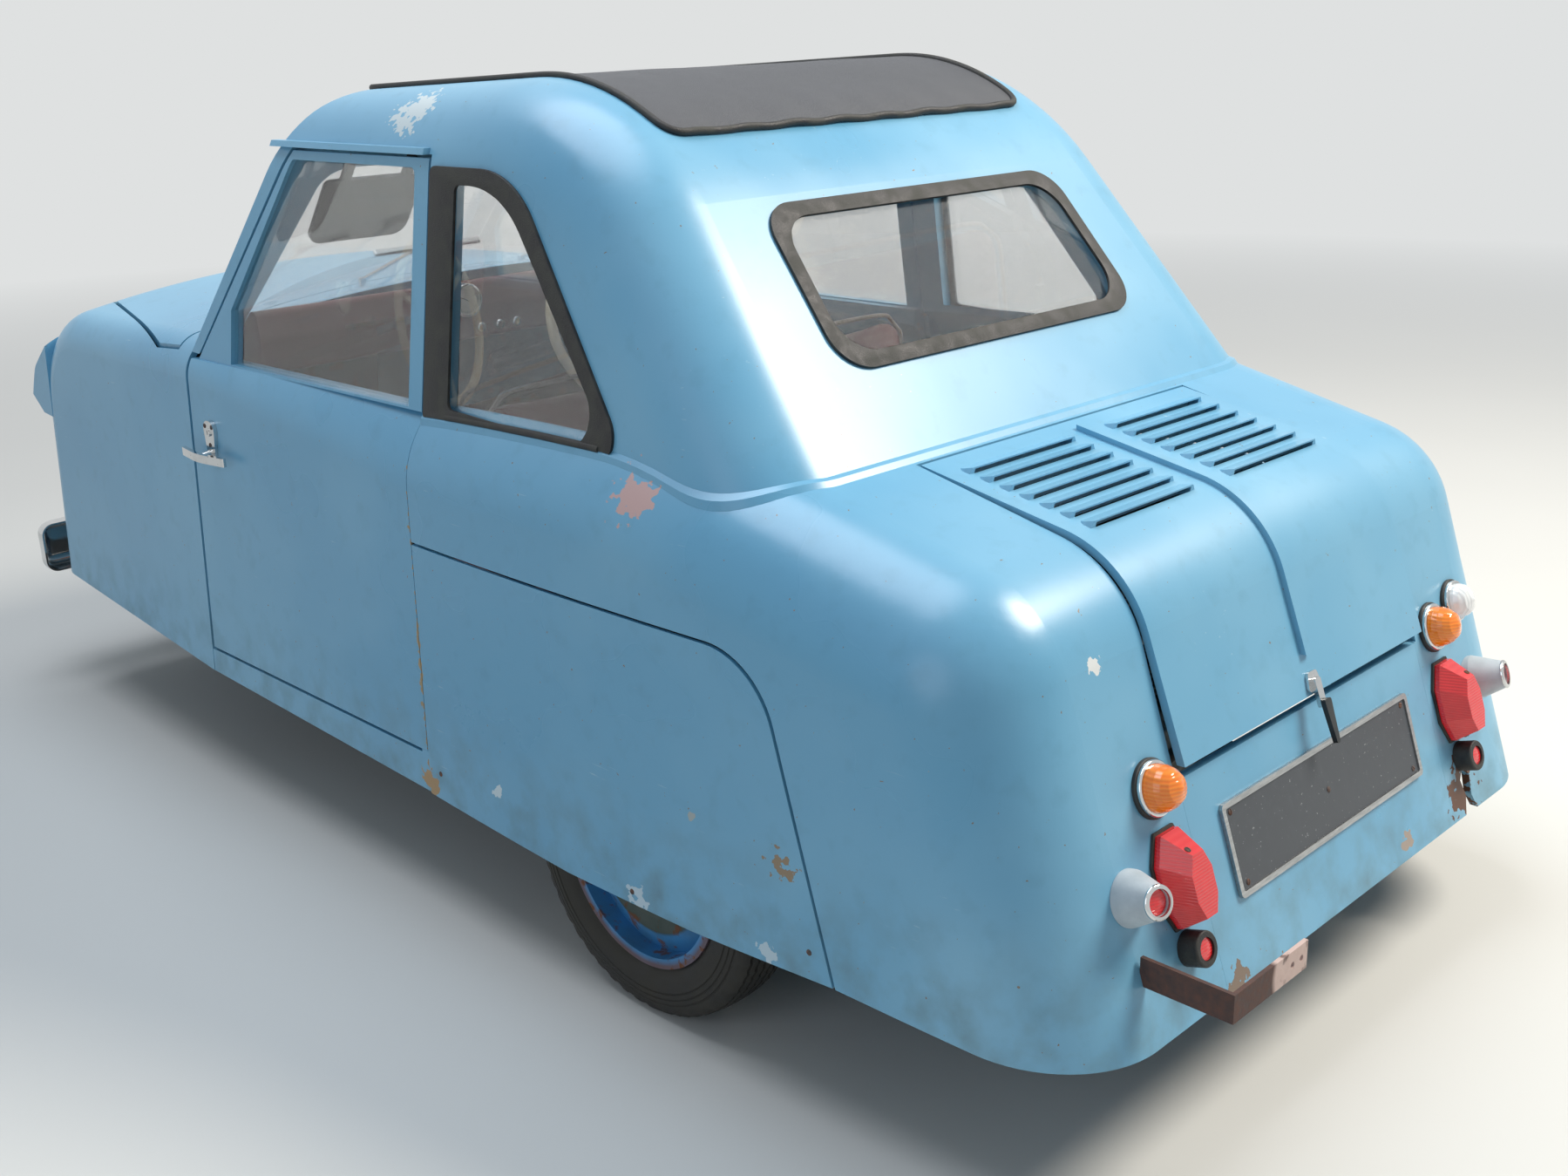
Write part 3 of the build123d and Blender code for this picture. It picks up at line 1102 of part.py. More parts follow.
def make_suspension():
    """Trailing arms with stub axles, and their spring units."""
    pivot_y = REAR_BULKHEAD_Y + 40
    arm = side_slab([(pivot_y - 25, AXLE_Z - 25, 10), (REAR_AXLE_Y + 30, AXLE_Z - 25, 10),
                     (REAR_AXLE_Y + 30, AXLE_Z + 25, 10), (pivot_y - 25, AXLE_Z + 25, 10)],
                    ARM_X - 18, ARM_X + 18)
    pivot = rod((RAIL_X + RAIL_WIDTH / 2, pivot_y, AXLE_Z), (ARM_X, pivot_y, AXLE_Z), 12)
    stub = rod((ARM_X, REAR_AXLE_Y, AXLE_Z), (REAR_TRACK / 2 + 6, REAR_AXLE_Y, AXLE_Z), 11)
    drum = rod((REAR_TRACK / 2 - 75, REAR_AXLE_Y, AXLE_Z), (REAR_TRACK / 2 - 38, REAR_AXLE_Y, AXLE_Z), 85)
    write("rear_arms", pair(arm + pivot + stub + drum))
    spring_y = REAR_AXLE_Y - 70
    unit = rod((ARM_X, spring_y, AXLE_Z + 25), (ARM_X, spring_y, SHELF_Z - FLOOR), 12)
    coil = rod((ARM_X, spring_y, AXLE_Z + 60), (ARM_X, spring_y, AXLE_Z + 300), 26)
    write("rear_springs", pair(unit + coil))


def make_engine():
    """Engine and gearbox unit as one plain block on the chassis bearers."""
    write("engine_block", box(-190, 190, 800, 1170, RAIL_TOP_Z, RAIL_TOP_Z + 330))


def column_line():
    """Centre of the steering wheel, and the way from it down the column."""
    turn = math.radians(COLUMN_SLOPE)
    return Vector(STEERING_WHEEL_X, STEERING_WHEEL_Y, STEERING_WHEEL_Z), Vector(0, -math.cos(turn), -math.sin(turn))


def make_seat():
    """Bench seat in two cushions."""
    foot = RAIL_TOP_Z + FLOOR + SEAT_GAP
    top = 470
    cushion = side_slab([(-330, foot), (110, foot), (110, top), (-330, top, 40)], -SEAT_HALF, SEAT_HALF)
    write("seat_cushion", cushion)
    low = top + SEAT_GAP
    back = side_slab([(40, low, 10), (150, low, 10), (205, 885, 40), (95, 885, 40)], -SEAT_HALF, SEAT_HALF)
    write("seat_back", back)


def make_dash():
    """Dashboard with its dial, knobs and strip, and the visor at the header."""
    inner = -SCREEN_FRAME_DEPTH - SEAT_GAP
    turn = math.radians(SCREEN_SLOPE)
    top = SCREEN_FOOT_Z + (DASH_FRONT_Y - SCREEN_FOOT_Y) * math.tan(turn) + inner / math.cos(turn)
    dash = side_slab([(DASH_FRONT_Y, top), *DASH_ROWS], -DASH_HALF, DASH_HALF)
    centre, way = column_line()
    x, z = DIAL
    dash = dash - rod(centre - way * 10, centre + way * 400, COLUMN_RADIUS + SEAT_GAP)
    dash = dash - rod((x, DIAL_BACK_Y - SEAT_GAP, z), (x, DIAL_BACK_Y + 60, z), DIAL_RADIUS + SEAT_GAP)
    write("dashboard", dash)
    dial = Plane(origin=(x, DIAL_BACK_Y, z), x_dir=(-1, 0, 0), z_dir=(0, 1, 0))
    fittings = turned(dial, [(0, 0), (DIAL_RADIUS, 0), (DIAL_RADIUS, 22, 2), (DIAL_RADIUS - 4, 24),
                             (DIAL_RADIUS - 4, 18), (0, 18)]).solids()
    for knob_x in KNOB_X:
        plane = Plane(origin=(knob_x, -524, KNOB_Z), x_dir=(-1, 0, 0), z_dir=(0, 1, 0))
        knob = turned(plane, [(0, 0), (5, 0), (5, 20), (10, 22), (10, 32, 4), (0, 32)])
        fittings += (knob - dash).solids()
    strip = box(210, 380, -520, -502, 897, 905) - dash
    write("dash_fittings", Compound(children=[*fittings, *strip.solids()]))
    visor = slab_on(screen_plane(), [(270, 300, 30), (480, 300, 30), (480, 450, 12), (270, 450, 12)],
                    inner - 4 - VISOR, inner - 4)
    for hinge_x in (300, 430):
        visor = visor + slab_on(screen_plane(), [(hinge_x, 440), (hinge_x + 16, 440), (hinge_x + 16, 492),
                                                 (hinge_x, 492)], inner - 4 - VISOR, inner)
    write("sun_visor", visor)


def make_steering():
    """Column, and the wheel that turns on it."""
    centre, way = column_line()
    reach = (BULKHEAD_Y + FLOOR - STEERING_WHEEL_Y) / way.Y
    column = rod(centre + way * 30, centre + way * reach, COLUMN_RADIUS)
    write("steering_column", column & box(-OUTSIDE_X, OUTSIDE_X, BULKHEAD_Y + FLOOR, 0, 0, 1400))
    plane = Plane(origin=centre, x_dir=(1, 0, 0), z_dir=-way)
    wheel = plane.location * Torus(STEERING_WHEEL_RADIUS, 11)
    wheel = wheel + extrude(plane.offset(-29) * Circle(26), 40)
    for angle in (90, 210, 330):
        spoke = Rot(0, 0, angle) * Pos(STEERING_WHEEL_RADIUS / 2, 0, 0) * Box(STEERING_WHEEL_RADIUS, 12, 6)
        wheel = wheel + plane.location * spoke
    write("steering_wheel", wheel)


def make_all():
    """Write every node."""
    for step in (make_doors, make_handles, make_cab, make_windows, make_wipers, make_roof, make_wings, make_bonnet,
                 make_headlamps, make_rear_body, make_lid, make_catch, make_rear_lamps, make_tail_fittings,
                 make_bumper, make_wheels, make_fork, make_chassis, make_floor, make_bulkhead, make_suspension,
                 make_engine, make_seat, make_dash, make_steering):
        step()


make_all()
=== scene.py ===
import math

import bmesh
import bpy
from bpy.props import FloatProperty, PointerProperty, StringProperty
from mathutils import Matrix, Vector, noise
from mathutils.bvhtree import BVHTree


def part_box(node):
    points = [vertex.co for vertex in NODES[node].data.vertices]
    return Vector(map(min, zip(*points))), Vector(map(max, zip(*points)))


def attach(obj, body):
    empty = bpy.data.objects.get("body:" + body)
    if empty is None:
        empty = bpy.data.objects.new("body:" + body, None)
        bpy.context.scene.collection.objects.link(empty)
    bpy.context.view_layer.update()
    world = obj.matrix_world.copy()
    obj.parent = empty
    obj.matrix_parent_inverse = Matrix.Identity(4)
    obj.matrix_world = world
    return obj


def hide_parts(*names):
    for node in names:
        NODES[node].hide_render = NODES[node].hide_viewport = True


bl_info = {
    "name": "Three wheeled microcar",
    "version": (1, 0, 0),
    "blender": (4, 5, 0),
    "location": "View3D > Sidebar > Microcar",
    "description": "Dresses the packed microcar with its paint, glass, rubber, trim and seats",
    "category": "Object",
}

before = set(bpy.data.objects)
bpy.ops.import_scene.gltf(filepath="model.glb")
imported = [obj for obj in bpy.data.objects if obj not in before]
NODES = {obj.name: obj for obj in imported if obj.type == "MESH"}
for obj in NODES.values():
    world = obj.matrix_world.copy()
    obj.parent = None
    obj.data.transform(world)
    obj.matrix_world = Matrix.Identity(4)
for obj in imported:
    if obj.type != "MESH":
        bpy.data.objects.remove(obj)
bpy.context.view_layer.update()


class MicrocarFinishes(bpy.types.PropertyGroup):
    """Colours of the car's finishes, as sRGB hex values."""
    enamel: StringProperty(name="Body enamel", description="Blue coachwork enamel", default="#62A2C4")
    faded: StringProperty(name="Faded enamel", description="The same enamel where the sun has bleached it",
                          default="#80B5D0")
    vinyl: StringProperty(name="Roof vinyl", description="Leathercloth of the roll-back roof",
                          default="#45484D")
    rubber: StringProperty(name="Window rubber", description="Weathered black seal rubber", default="#17181A")
    maroon: StringProperty(name="Maroon trim", description="Leathercloth and paint inside", default="#5A1C20")
    ivory: StringProperty(name="Ivory", description="Moulded steering wheel plastic", default="#D8CDB0")
    rim: StringProperty(name="Wheel paint", description="Blue of the wheel rims", default="#3F86BC")
    floor: StringProperty(name="Studio floor", description="Pale floor of the studio", default="#D9DAD6")


class MicrocarSizes(bpy.types.PropertyGroup):
    """Sizes of the fittings that the CAD leaves to this dressing."""
    tread_depth: FloatProperty(name="Tread depth", description="Depth of the tyre's grooves", default=0.006,
                               min=0.002, max=0.01, unit="LENGTH")
    screw_radius: FloatProperty(name="Screw head", description="Radius of the small screw heads",
                                default=0.0045, min=0.002, max=0.01, unit="LENGTH")
    piping_radius: FloatProperty(name="Piping", description="Radius of the roof's edge piping", default=0.006,
                                 min=0.002, max=0.012, unit="LENGTH")


def finishes():
    return bpy.context.scene.microcar_finishes


def sizes():
    return bpy.context.scene.microcar_sizes


def linear(hex_text):
    """Linear colour of an sRGB hex value."""
    channels = [int(hex_text[i:i + 2], 16) / 255 for i in (1, 3, 5)]
    return (*[c / 12.92 if c <= 0.04045 else ((c + 0.055) / 1.055) ** 2.4 for c in channels], 1.0)


def add(where, kind, links=None, **settings):
    """Adds a node to a tree, or beside a node or socket, with its settings and its inputs.

    An input is a value, a colour in hex, a socket to link, or a node whose first output is linked.
    """
    tree = where.id_data
    node = tree.nodes.new("ShaderNode" + kind)
    for name, value in settings.items():
        setattr(node, name, value)
    for key, value in (links or {}).items():
        if isinstance(value, bpy.types.Node):
            value = value.outputs[0]
        if isinstance(value, bpy.types.NodeSocket):
            tree.links.new(value, node.inputs[key])
        else:
            node.inputs[key].default_value = linear(value) if isinstance(value, str) else value
    return node


def new_finish(name, **values):
    """A material with its shader, its object coordinates and constant values on the shader."""
    material = bpy.data.materials.new(name)
    material.use_nodes = True
    shader = material.node_tree.nodes["Principled BSDF"]
    for key, value in values.items():
        shader.inputs[key.replace("_", " ")].default_value = value
    coords = add(shader, "TexCoord").outputs["Object"]
    return material, shader, coords


def patches(coords, size_mm, low, high, detail=4.0, stretch=(1, 1, 1)):
    """Noise of a real size, cut between two levels, from 0 to 1."""
    mapped = add(coords, "Mapping", {"Vector": coords, "Scale": stretch})
    cloud = add(coords, "TexNoise", {"Vector": mapped, "Scale": 1000.0 / size_mm, "Detail": detail})
    return add(coords, "MapRange", {"Value": cloud, "From Min": low, "From Max": high})


def near(coords, centre, radius, soft):
    """1 near a point of the object and 0 away from it."""
    away = add(coords, "VectorMath", {0: coords, 1: centre}, operation="DISTANCE").outputs["Value"]
    return add(coords, "MapRange", {"Value": away, "From Min": radius, "From Max": radius * soft})


def beside(value, centre, reach):
    """1 where one coordinate is at a centre, and 0 at a reach from it."""
    away = add(value, "Math", {0: value, 1: centre}, operation="SUBTRACT")
    away = add(value, "Math", {0: away}, operation="ABSOLUTE")
    return add(value, "MapRange", {"Value": away, "From Min": reach, "From Max": 0.0})


def weigh(*parts):
    """Sum of masks, held between 0 and 1: each part is a mask, or a mask and its share or second mask."""
    total = None
    for part in parts:
        if isinstance(part, tuple):
            part = add(part[0], "Math", {0: part[0], 1: part[1]}, operation="MULTIPLY", use_clamp=True)
        if total is None:
            total = part
        else:
            total = add(total, "Math", {0: total, 1: part}, operation="ADD", use_clamp=True)
    return total


def flaked(ragged, clouds, closeness):
    """Ragged bare spots that crowd where closeness nears 1 and the coarse clouds are thick."""
    crowd = weigh(ragged, (weigh((closeness, clouds)), FLAKE_CROWD))
    return add(crowd, "MapRange", {"Value": crowd, "From Min": FLAKE_EDGE,
                                   "From Max": FLAKE_EDGE + FLAKE_SOFT})


def layer(under, over, mask, share=1.0):
    """Colour after another lies over it where a mask is 1, at a share of its strength."""
    amount = weigh((mask, share))
    # Sockets 6 and 7 are the two colours of this node, and its output 2 is the mixed one
    return add(amount, "Mix", {0: amount, 6: under, 7: over}, data_type="RGBA").outputs[2]


def soiled(coords, spots, share, clean, dirty):
    """Patches of dirt or wear, and the colour that they leave."""
    mask = patches(coords, *spots)
    return mask, layer(clean, dirty, mask, share)


def coat(shader, colour=None, rough=None, height=None, depth=0.001, strength=1.0):
    """Links a finish's colour, its roughness between two levels, and its bump of a real depth."""
    links = shader.id_data.links
    if colour is not None:
        links.new(colour, shader.inputs["Base Color"])
    if rough is not None:
        level = add(shader, "MapRange", {"Value": rough[0], "To Min": rough[1], "To Max": rough[2]})
        links.new(level.outputs[0], shader.inputs["Roughness"])
    if height is not None:
        bump = add(shader, "Bump", {"Height": height, "Distance": depth, "Strength": strength})
        links.new(bump.outputs[0], shader.inputs["Normal"])


# Places where the enamel has gone: centre in metres, radius, and what shows through
WORN_PLACES = (
    ((0.525, 0.030, 1.325), 0.085, "#CBD8DA"),
    ((0.656, 0.680, 0.822), 0.070, "#C3A4A0"),
    ((0.688, 0.138, 0.235), 0.045, "#A98B63"),
    ((0.692, 0.809, 0.387), 0.018, "#9FA9A8"),
    ((0.687, 0.981, 0.366), 0.045, "#8C7A62"),
    ((0.698, 0.685, 0.214), 0.040, "#B7CDD8"),
    ((0.691, 0.953, 0.225), 0.030, "#B7CDD8"),
    ((0.694, 0.341, 0.279), 0.025, "#C5D6DC"),
    ((0.450, 1.309, 0.668), 0.022, "#D8DCDC"),
    ((-0.187, 1.454, 0.232), 0.035, "#9C8F84"),
    ((-0.385, 1.448, 0.240), 0.085, "#5A3A28"),
    ((0.310, 1.455, 0.216), 0.050, "#7A6A5C"),
)
# Noise level at which enamel flakes off, how soft its edge is, and what a worn place adds to the noise
FLAKE_EDGE = 0.665
FLAKE_SOFT = 0.015
FLAKE_CROWD = 0.40
# The door edge that is rubbed bare, and where road mud starts and is thickest
DOOR_EDGE_Y = 0.130
MUD_TOP_Z = 0.42
MUD_FULL_Z = 0.18


def coachwork_enamel():
    """Air-drying coach enamel over steel: dull gloss, chalked on top, chipped at corners and scratched."""
    material, shader, coords = new_finish("coachwork_enamel", IOR=1.5)
    sun = patches(coords, 520, 0.35, 0.75, 3.0)
    colour = layer(finishes().enamel, finishes().faded, sun)
    colour = soiled(coords, (38, 0.55, 0.95, 6.0), 0.35, colour, "#4F8299")[1]
    axes = add(coords, "SeparateXYZ", {"Vector": coords}).outputs
    splashed = add(coords, "MapRange", {"Value": axes["Z"], "From Min": MUD_TOP_Z, "From Max": MUD_FULL_Z})
    mud = weigh((splashed, patches(coords, 60, 0.42, 0.72, 6.0)))
    colour = layer(colour, "#5C6A63", mud, 0.55)
    scratch = weigh((patches(coords, 8, 0.72, 0.76, 3.0, (1.0, 0.10, 1.6)),
                     patches(coords, 330, 0.52, 0.60, 2.0)))
    colour = layer(colour, "#B7D3DC", scratch, 0.45)
    chips = patches(coords, 8, 0.755, 0.765, 2.0)
    colour = layer(colour, "#7D7263", chips)
    ragged = patches(coords, 14, 0.0, 1.15, 8.0)
    clouds = weigh(patches(coords, 42, 0.30, 0.62, 3.0, (1.0, 0.6, 1.4)), 0.30)
    edge = weigh((beside(axes["Y"], DOOR_EDGE_Y, 0.012), beside(axes["Z"], 0.45, 0.55)))
    wear = flaked(ragged, clouds, weigh((edge, 1.1)))
    colour = layer(colour, "#A08A66", wear)
    for centre, radius, shows in WORN_PLACES:
        here = flaked(ragged, clouds, near(coords, centre, radius, 0.2))
        colour = layer(colour, shows, here)
        wear = weigh(wear, here)
    dull = weigh((sun, 0.6), (weigh(wear, mud), 0.9))
    waves = patches(coords, 240, 0.0, 1.0, 1.0)
    peel = patches(coords, 3.0, 0.3, 0.7, 1.0)
    height = weigh((waves, 0.9), (peel, 0.014))
    coat(shader, colour, (dull, 0.27, 0.55), height, 0.0024, 0.6)
    shader.inputs["Coat Weight"].default_value = 0.15
    shader.inputs["Coat Roughness"].default_value = 0.2
    return material


def window_glass():
    """Flat safety glass: clear, faintly green, with a film of dust."""
    material, shader, coords = new_finish("window_glass", Transmission_Weight=1.0, IOR=1.45,
                                          Roughness=0.0, Specular_IOR_Level=0.12, Alpha=0.22)
    shader.inputs["Base Color"].default_value = linear("#EEF5F2")
    dust = patches(coords, 90, 0.45, 0.9, 5.0)
    coat(shader, None, (dust, 0.01, 0.09))
    return material


def moulded_lens(name, colour, axis, pitch_mm):
    """Moulded acrylic lamp lens: clear bright colour, glossy, with fine prism ribs inside; painted glints on
    the ribs and a faint painted glow.
    """
    material, shader, coords = new_finish(name, IOR=1.49, Roughness=0.08, Transmission_Weight=0.12)
    deep = patches(coords, 30, 0.3, 0.7, 1.0)
    scale = 1000 * math.tau / 20 / pitch_mm
    ribs = add(coords, "TexWave", {"Vector": coords, "Scale": scale, "Distortion": 0.0}, wave_type="BANDS",
               bands_direction=axis).outputs["Fac"]
    base = layer(colour[0], colour[1], deep, 0.5)
    # Painted glints: the ribs are tinted towards the lighter third colour
    base = layer(base, colour[2], ribs, 0.22)
    # Painted glow: the unlit lens gives off a faint light of its own colour
    shader.id_data.links.new(base, shader.inputs["Emission Color"])
    shader.inputs["Emission Strength"].default_value = 0.10
    coat(shader, base, None, ribs, 0.0006, 0.6)
    shader.inputs["Coat Weight"].default_value = 0.6
    shader.inputs["Coat Roughness"].default_value = 0.04
    return material


def plated_chrome():
    """Nickel chrome plate on steel: a mirror with a haze of pits and a little rust at them."""
    material, shader, coords = new_finish("plated_chrome", Metallic=1.0)
    haze, colour = soiled(coords, (45, 0.4, 0.8, 6.0), 0.5, "#D8DADB", "#A9ABAA")
    pits, colour = soiled(coords, (3.2, 0.70, 0.74, 2.0), 0.8, colour, "#6B4A35")
    coat(shader, colour, (weigh((haze, 0.6), pits), 0.07, 0.5), pits, 0.0003, 0.5)
    return material


def polished_aluminium():
    """Bare aluminium gone dull: satin with a faint rolled grain."""
    material, shader, coords = new_finish("polished_aluminium", Metallic=1.0)
    grain = patches(coords, 4, 0.3, 0.7, 3.0, (0.15, 1, 1))
    colour = layer("#BFC1C1", "#A2A5A6", grain)
    coat(shader, colour, (grain, 0.3, 0.45), grain, 0.0002, 0.4)
    return material


def seal_rubber():
    """Extruded window rubber: matt black gone grey where it is dry, with fine cracks."""
    material, shader, coords = new_finish("seal_rubber")
    dry, colour = soiled(coords, (30, 0.4, 0.75, 6.0), 0.55, finishes().rubber, "#55564F")
    cracks = patches(coords, 2.2, 0.45, 0.6, 3.0)
    coat(shader, colour, (dry, 0.5, 0.85), cracks, 0.0004, 0.5)
    return material


def tyre_rubber():
    """Vulcanised tyre rubber: dusty black, brown dirt low in the tread."""
    material, shader, coords = new_finish("tyre_rubber")
    dust, colour = soiled(coords, (50, 0.35, 0.75, 6.0), 0.5, "#1B1B1A", "#4A473E")
    grit = patches(coords, 1.8, 0.3, 0.7, 3.0)
    coat(shader, colour, (dust, 0.62, 0.92), grit, 0.0004, 0.5)
    return material


def leathercloth(name, colour, worn, grain_mm=2.4):
    """PVC coated cotton: a pebbled grain, satin sheen and paler worn high spots."""
    material, shader, coords = new_finish(name)
    wear, tone = soiled(coords, (120, 0.4, 0.8, 5.0), 0.4, colour, worn)
    cells = add(coords, "TexVoronoi", {"Vector": coords, "Scale": 1000.0 / grain_mm},
                feature="DISTANCE_TO_EDGE")
    pebbles = add(coords, "MapRange", {"Value": cells.outputs["Distance"], "From Max": 0.25})
    coat(shader, tone, (wear, 0.50, 0.66), pebbles, 0.0005, 0.7)
    return material


def chassis_paint():
    """Black stoved paint on the frame, under road dirt and rust."""
    material, shader, coords = new_finish("chassis_paint")
    dirt, colour = soiled(coords, (70, 0.4, 0.75, 5.0), 0.6, "#26282A", "#4B463C")
    rust, colour = soiled(coords, (26, 0.56, 0.68, 6.0), 0.8, colour, "#5B3520")
    coat(shader, colour, (weigh(rust, dirt), 0.45, 0.9), rust, 0.0006, 0.5)
    return material


def rusty_steel():
    """Mild steel that has lost its plating: brown and orange scale."""
    material, shader, coords = new_finish("rusty_steel")
    scale = patches(coords, 9, 0.35, 0.7, 6.0)
    colour = layer("#4A2D1D", "#8A5330", scale)
    colour = soiled(coords, (24, 0.35, 0.55, 4.0), 0.8, colour, "#4A4E50")[1]
    coat(shader, colour, (scale, 0.7, 0.95), scale, 0.0007, 0.7)
    return material


# The end of the bracket that still carries primer: its place and reach
PRIMED_END = (0.356, 1.560, 0.308)
PRIMED_REACH = 0.062


def bracket_steel():
    """Bare steel bar gone dark brown, with pink primer left on the end that carries the bolts."""
    material, shader, coords = new_finish("primed_bracket_steel")
    scale = patches(coords, 12, 0.35, 0.7, 6.0)
    colour = layer("#3B2A27", "#5A4038", scale)
    primed = weigh((near(coords, PRIMED_END, PRIMED_REACH, 0.85),
                    patches(coords, 20, 0.25, 0.42, 5.0)))
    colour = layer(colour, "#C2ACA4", primed)
    coat(shader, colour, (scale, 0.6, 0.9), scale, 0.0005, 0.6)
    return material


def interior_paint():
    """Maroon stoved paint of the dashboard, with dust."""
    material, shader, coords = new_finish("interior_paint")
    dust, colour = soiled(coords, (60, 0.4, 0.8, 5.0), 0.4, finishes().maroon, "#6B4A45")
    coat(shader, colour, (dust, 0.28, 0.5), patches(coords, 2.5, 0.3, 0.7), 0.0002, 0.4)
    return material


def moulded_ivory():
    """Phenolic steering wheel moulding: ivory, handled smooth, browned in the grooves."""
    material, shader, coords = new_finish("moulded_ivory", IOR=1.55)
    hand, colour = soiled(coords, (35, 0.4, 0.75, 5.0), 0.5, finishes().ivory, "#A89468")
    coat(shader, colour, (hand, 0.25, 0.5), hand, 0.0002, 0.3)
    return material


# Radii on a wheel, in metres, where the cap ends, the blue barrel starts and the rusty flange starts
WHEEL_BANDS = ((0.066, 0.070), (0.118, 0.124), (0.154, 0.163))
# Wheel centres seen from the side: y and z
FRONT_HUB = (-1.176, 0.25)
REAR_HUB = (0.653, 0.25)


def wheel_enamel(name, hub):
    """Pressed wheel: pale cap, dark disc under road film, blue enamelled barrel and a rusty flange."""
    material, shader, coords = new_finish(name)
    rust = patches(coords, 22, 0.58, 0.66, 8.0)
    dirt = patches(coords, 50, 0.4, 0.8, 5.0)
    flat = add(coords, "VectorMath", {0: coords, 1: (0, 1, 1)}, operation="MULTIPLY")
    radius = add(coords, "VectorMath", {0: flat, 1: (0, *hub)}, operation="DISTANCE").outputs["Value"]
    disc, barrel, edge = [add(coords, "MapRange", {"Value": radius, "From Min": start, "From Max": end})
                          for start, end in WHEEL_BANDS]
    colour = layer("#B9BFBC", "#39463F", disc)
    colour = layer(colour, finishes().rim, barrel)
    colour = layer(colour, "#3F4F4C", dirt, 0.5)
    flange = weigh((rust, 0.85), (edge, 0.8))
    colour = layer(colour, "#6A4128", flange)
    coat(shader, colour, (weigh(rust, dirt), 0.35, 0.85), rust, 0.0005, 0.5)
    return material


def cast_alloy():
    """Sand-cast aluminium engine cases under an oily film."""
    material, shader, coords = new_finish("cast_alloy", Metallic=0.6)
    oil, colour = soiled(coords, (55, 0.4, 0.7, 5.0), 0.8, "#8E8F8D", "#3A342C")
    sand = patches(coords, 1.5, 0.3, 0.7, 2.0)
    coat(shader, colour, (oil, 0.45, 0.75), sand, 0.0005, 0.6)
    return material


def plate_enamel():
    """Black pressed number plate, bare of characters, gone grey and spotted with lime."""
    material, shader, coords = new_finish("plate_enamel")
    spots, colour = soiled(coords, (14, 0.5, 0.8, 5.0), 0.4, "#40454B", "#60656A")
    colour = soiled(coords, (4.5, 0.70, 0.73, 2.0), 0.6, colour, "#A9ADB0")[1]
    coat(shader, colour, (spots, 0.4, 0.7), spots, 0.0002, 0.3)
    return material


def moulded_plastic(name, colour, worn):
    """Moulded plastic: even and satin, its gloss gone in patches."""
    material, shader, coords = new_finish(name, IOR=1.48)
    chalk, tone = soiled(coords, (25, 0.4, 0.8, 5.0), 0.6, colour, worn)
    coat(shader, tone, (chalk, 0.35, 0.6), patches(coords, 1.6, 0.3, 0.7), 0.0002, 0.3)
    return material


def assign(material, *names):
    """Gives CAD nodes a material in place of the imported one."""
    for name in names:
        mesh = NODES[name].data
        mesh.materials.clear()
        mesh.materials.append(material)


class MICROCAR_OT_finish_nodes(bpy.types.Operator):
    """Gives every solid of the frame its own finish"""
    bl_idname = "microcar.finish_nodes"
    bl_label = "Finish the solids"

    def execute(self, context):
        assign(coachwork_enamel(), "front_wings", "cab_shell", "rear_shell", "side_panel_left",
               "side_panel_right", "tail_panel", "door_left", "door_right", "engine_lid", "bonnet", "sills")
        assign(window_glass(), "windscreen", "rear_window", "quarter_windows", "door_glass_left",
               "door_glass_right")
        assign(seal_rubber(), "lamp_bases")
        assign(interior_paint(), "dashboard")
        assign(chassis_paint(), "chassis", "floor_pan", "rear_bulkhead", "rear_arms", "rear_springs",
               "front_fork", "steering_column")
        assign(plated_chrome(), "headlamps", "front_bumper", "door_handle_left", "door_handle_right",
               "lid_catch", "lamp_rings", "dash_fittings", "wipers")
        assign(polished_aluminium(), "plate_frame")
        assign(moulded_plastic("reflector_housing_plastic", "#B9C3C9", "#93A0A8"), "reflector_housings")
        assign(moulded_plastic("lever_grip_plastic", "#1D2123", "#3B4143"), "catch_lever")
        assign(leathercloth("visor_leathercloth", "#4B453F", "#615A52", 1.6), "sun_visor")
        assign(bracket_steel(), "bumper_bracket")
        # Lens colours: clear tint, deeper tint, and a lighter tint painted on the ribs as glints
        assign(moulded_lens("amber_lens", ("#F0820F", "#DB6408", "#FFB23C"), "Z", 5.0), "amber_lamps")
        assign(moulded_lens("red_lens", ("#DE2029", "#C4121F", "#F04A48"), "Z", 4.0), "tail_lamps",
               "rear_reflectors")
        assign(moulded_lens("clear_lens", ("#E6EAEA", "#CDD3D4", "#FFFFFF"), "X", 6.0), "headlamp_lenses",
               "reversing_lamp")
        assign(plate_enamel(), "number_plate")
        assign(wheel_enamel("front_wheel_enamel", FRONT_HUB), "front_rim")
        assign(wheel_enamel("rear_wheel_enamel", REAR_HUB), "rear_left_rim", "rear_right_rim")
        assign(moulded_ivory(), "steering_wheel")
        return {"FINISHED"}


def finished(name, bm, material, body, crease=38.0):
    """Links a bmesh as a piece on a body, smooth but for its sharp edges."""
    bmesh.ops.remove_doubles(bm, verts=bm.verts, dist=0.00002)
    bmesh.ops.recalc_face_normals(bm, faces=bm.faces)
    for face in bm.faces:
        face.smooth = True
    for edge in bm.edges:
        edge.smooth = edge.calc_face_angle(0.0) < math.radians(crease)
    mesh = bpy.data.meshes.new(name)
    bm.to_mesh(mesh)
    bm.free()
    mesh.materials.append(material)
    piece = bpy.data.objects.new(name, mesh)
    bpy.context.scene.collection.objects.link(piece)
    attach(piece, body)
    return piece


def round_edges(bm, edges, offset, segments):
    """Rounds edges of a mesh, and returns the vertices that this made."""
    return bmesh.ops.bevel(bm, geom=edges, offset=offset, offset_type="OFFSET", affect="EDGES",
                           segments=segments, profile=0.5, material=-1, clamp_overlap=True)["verts"]


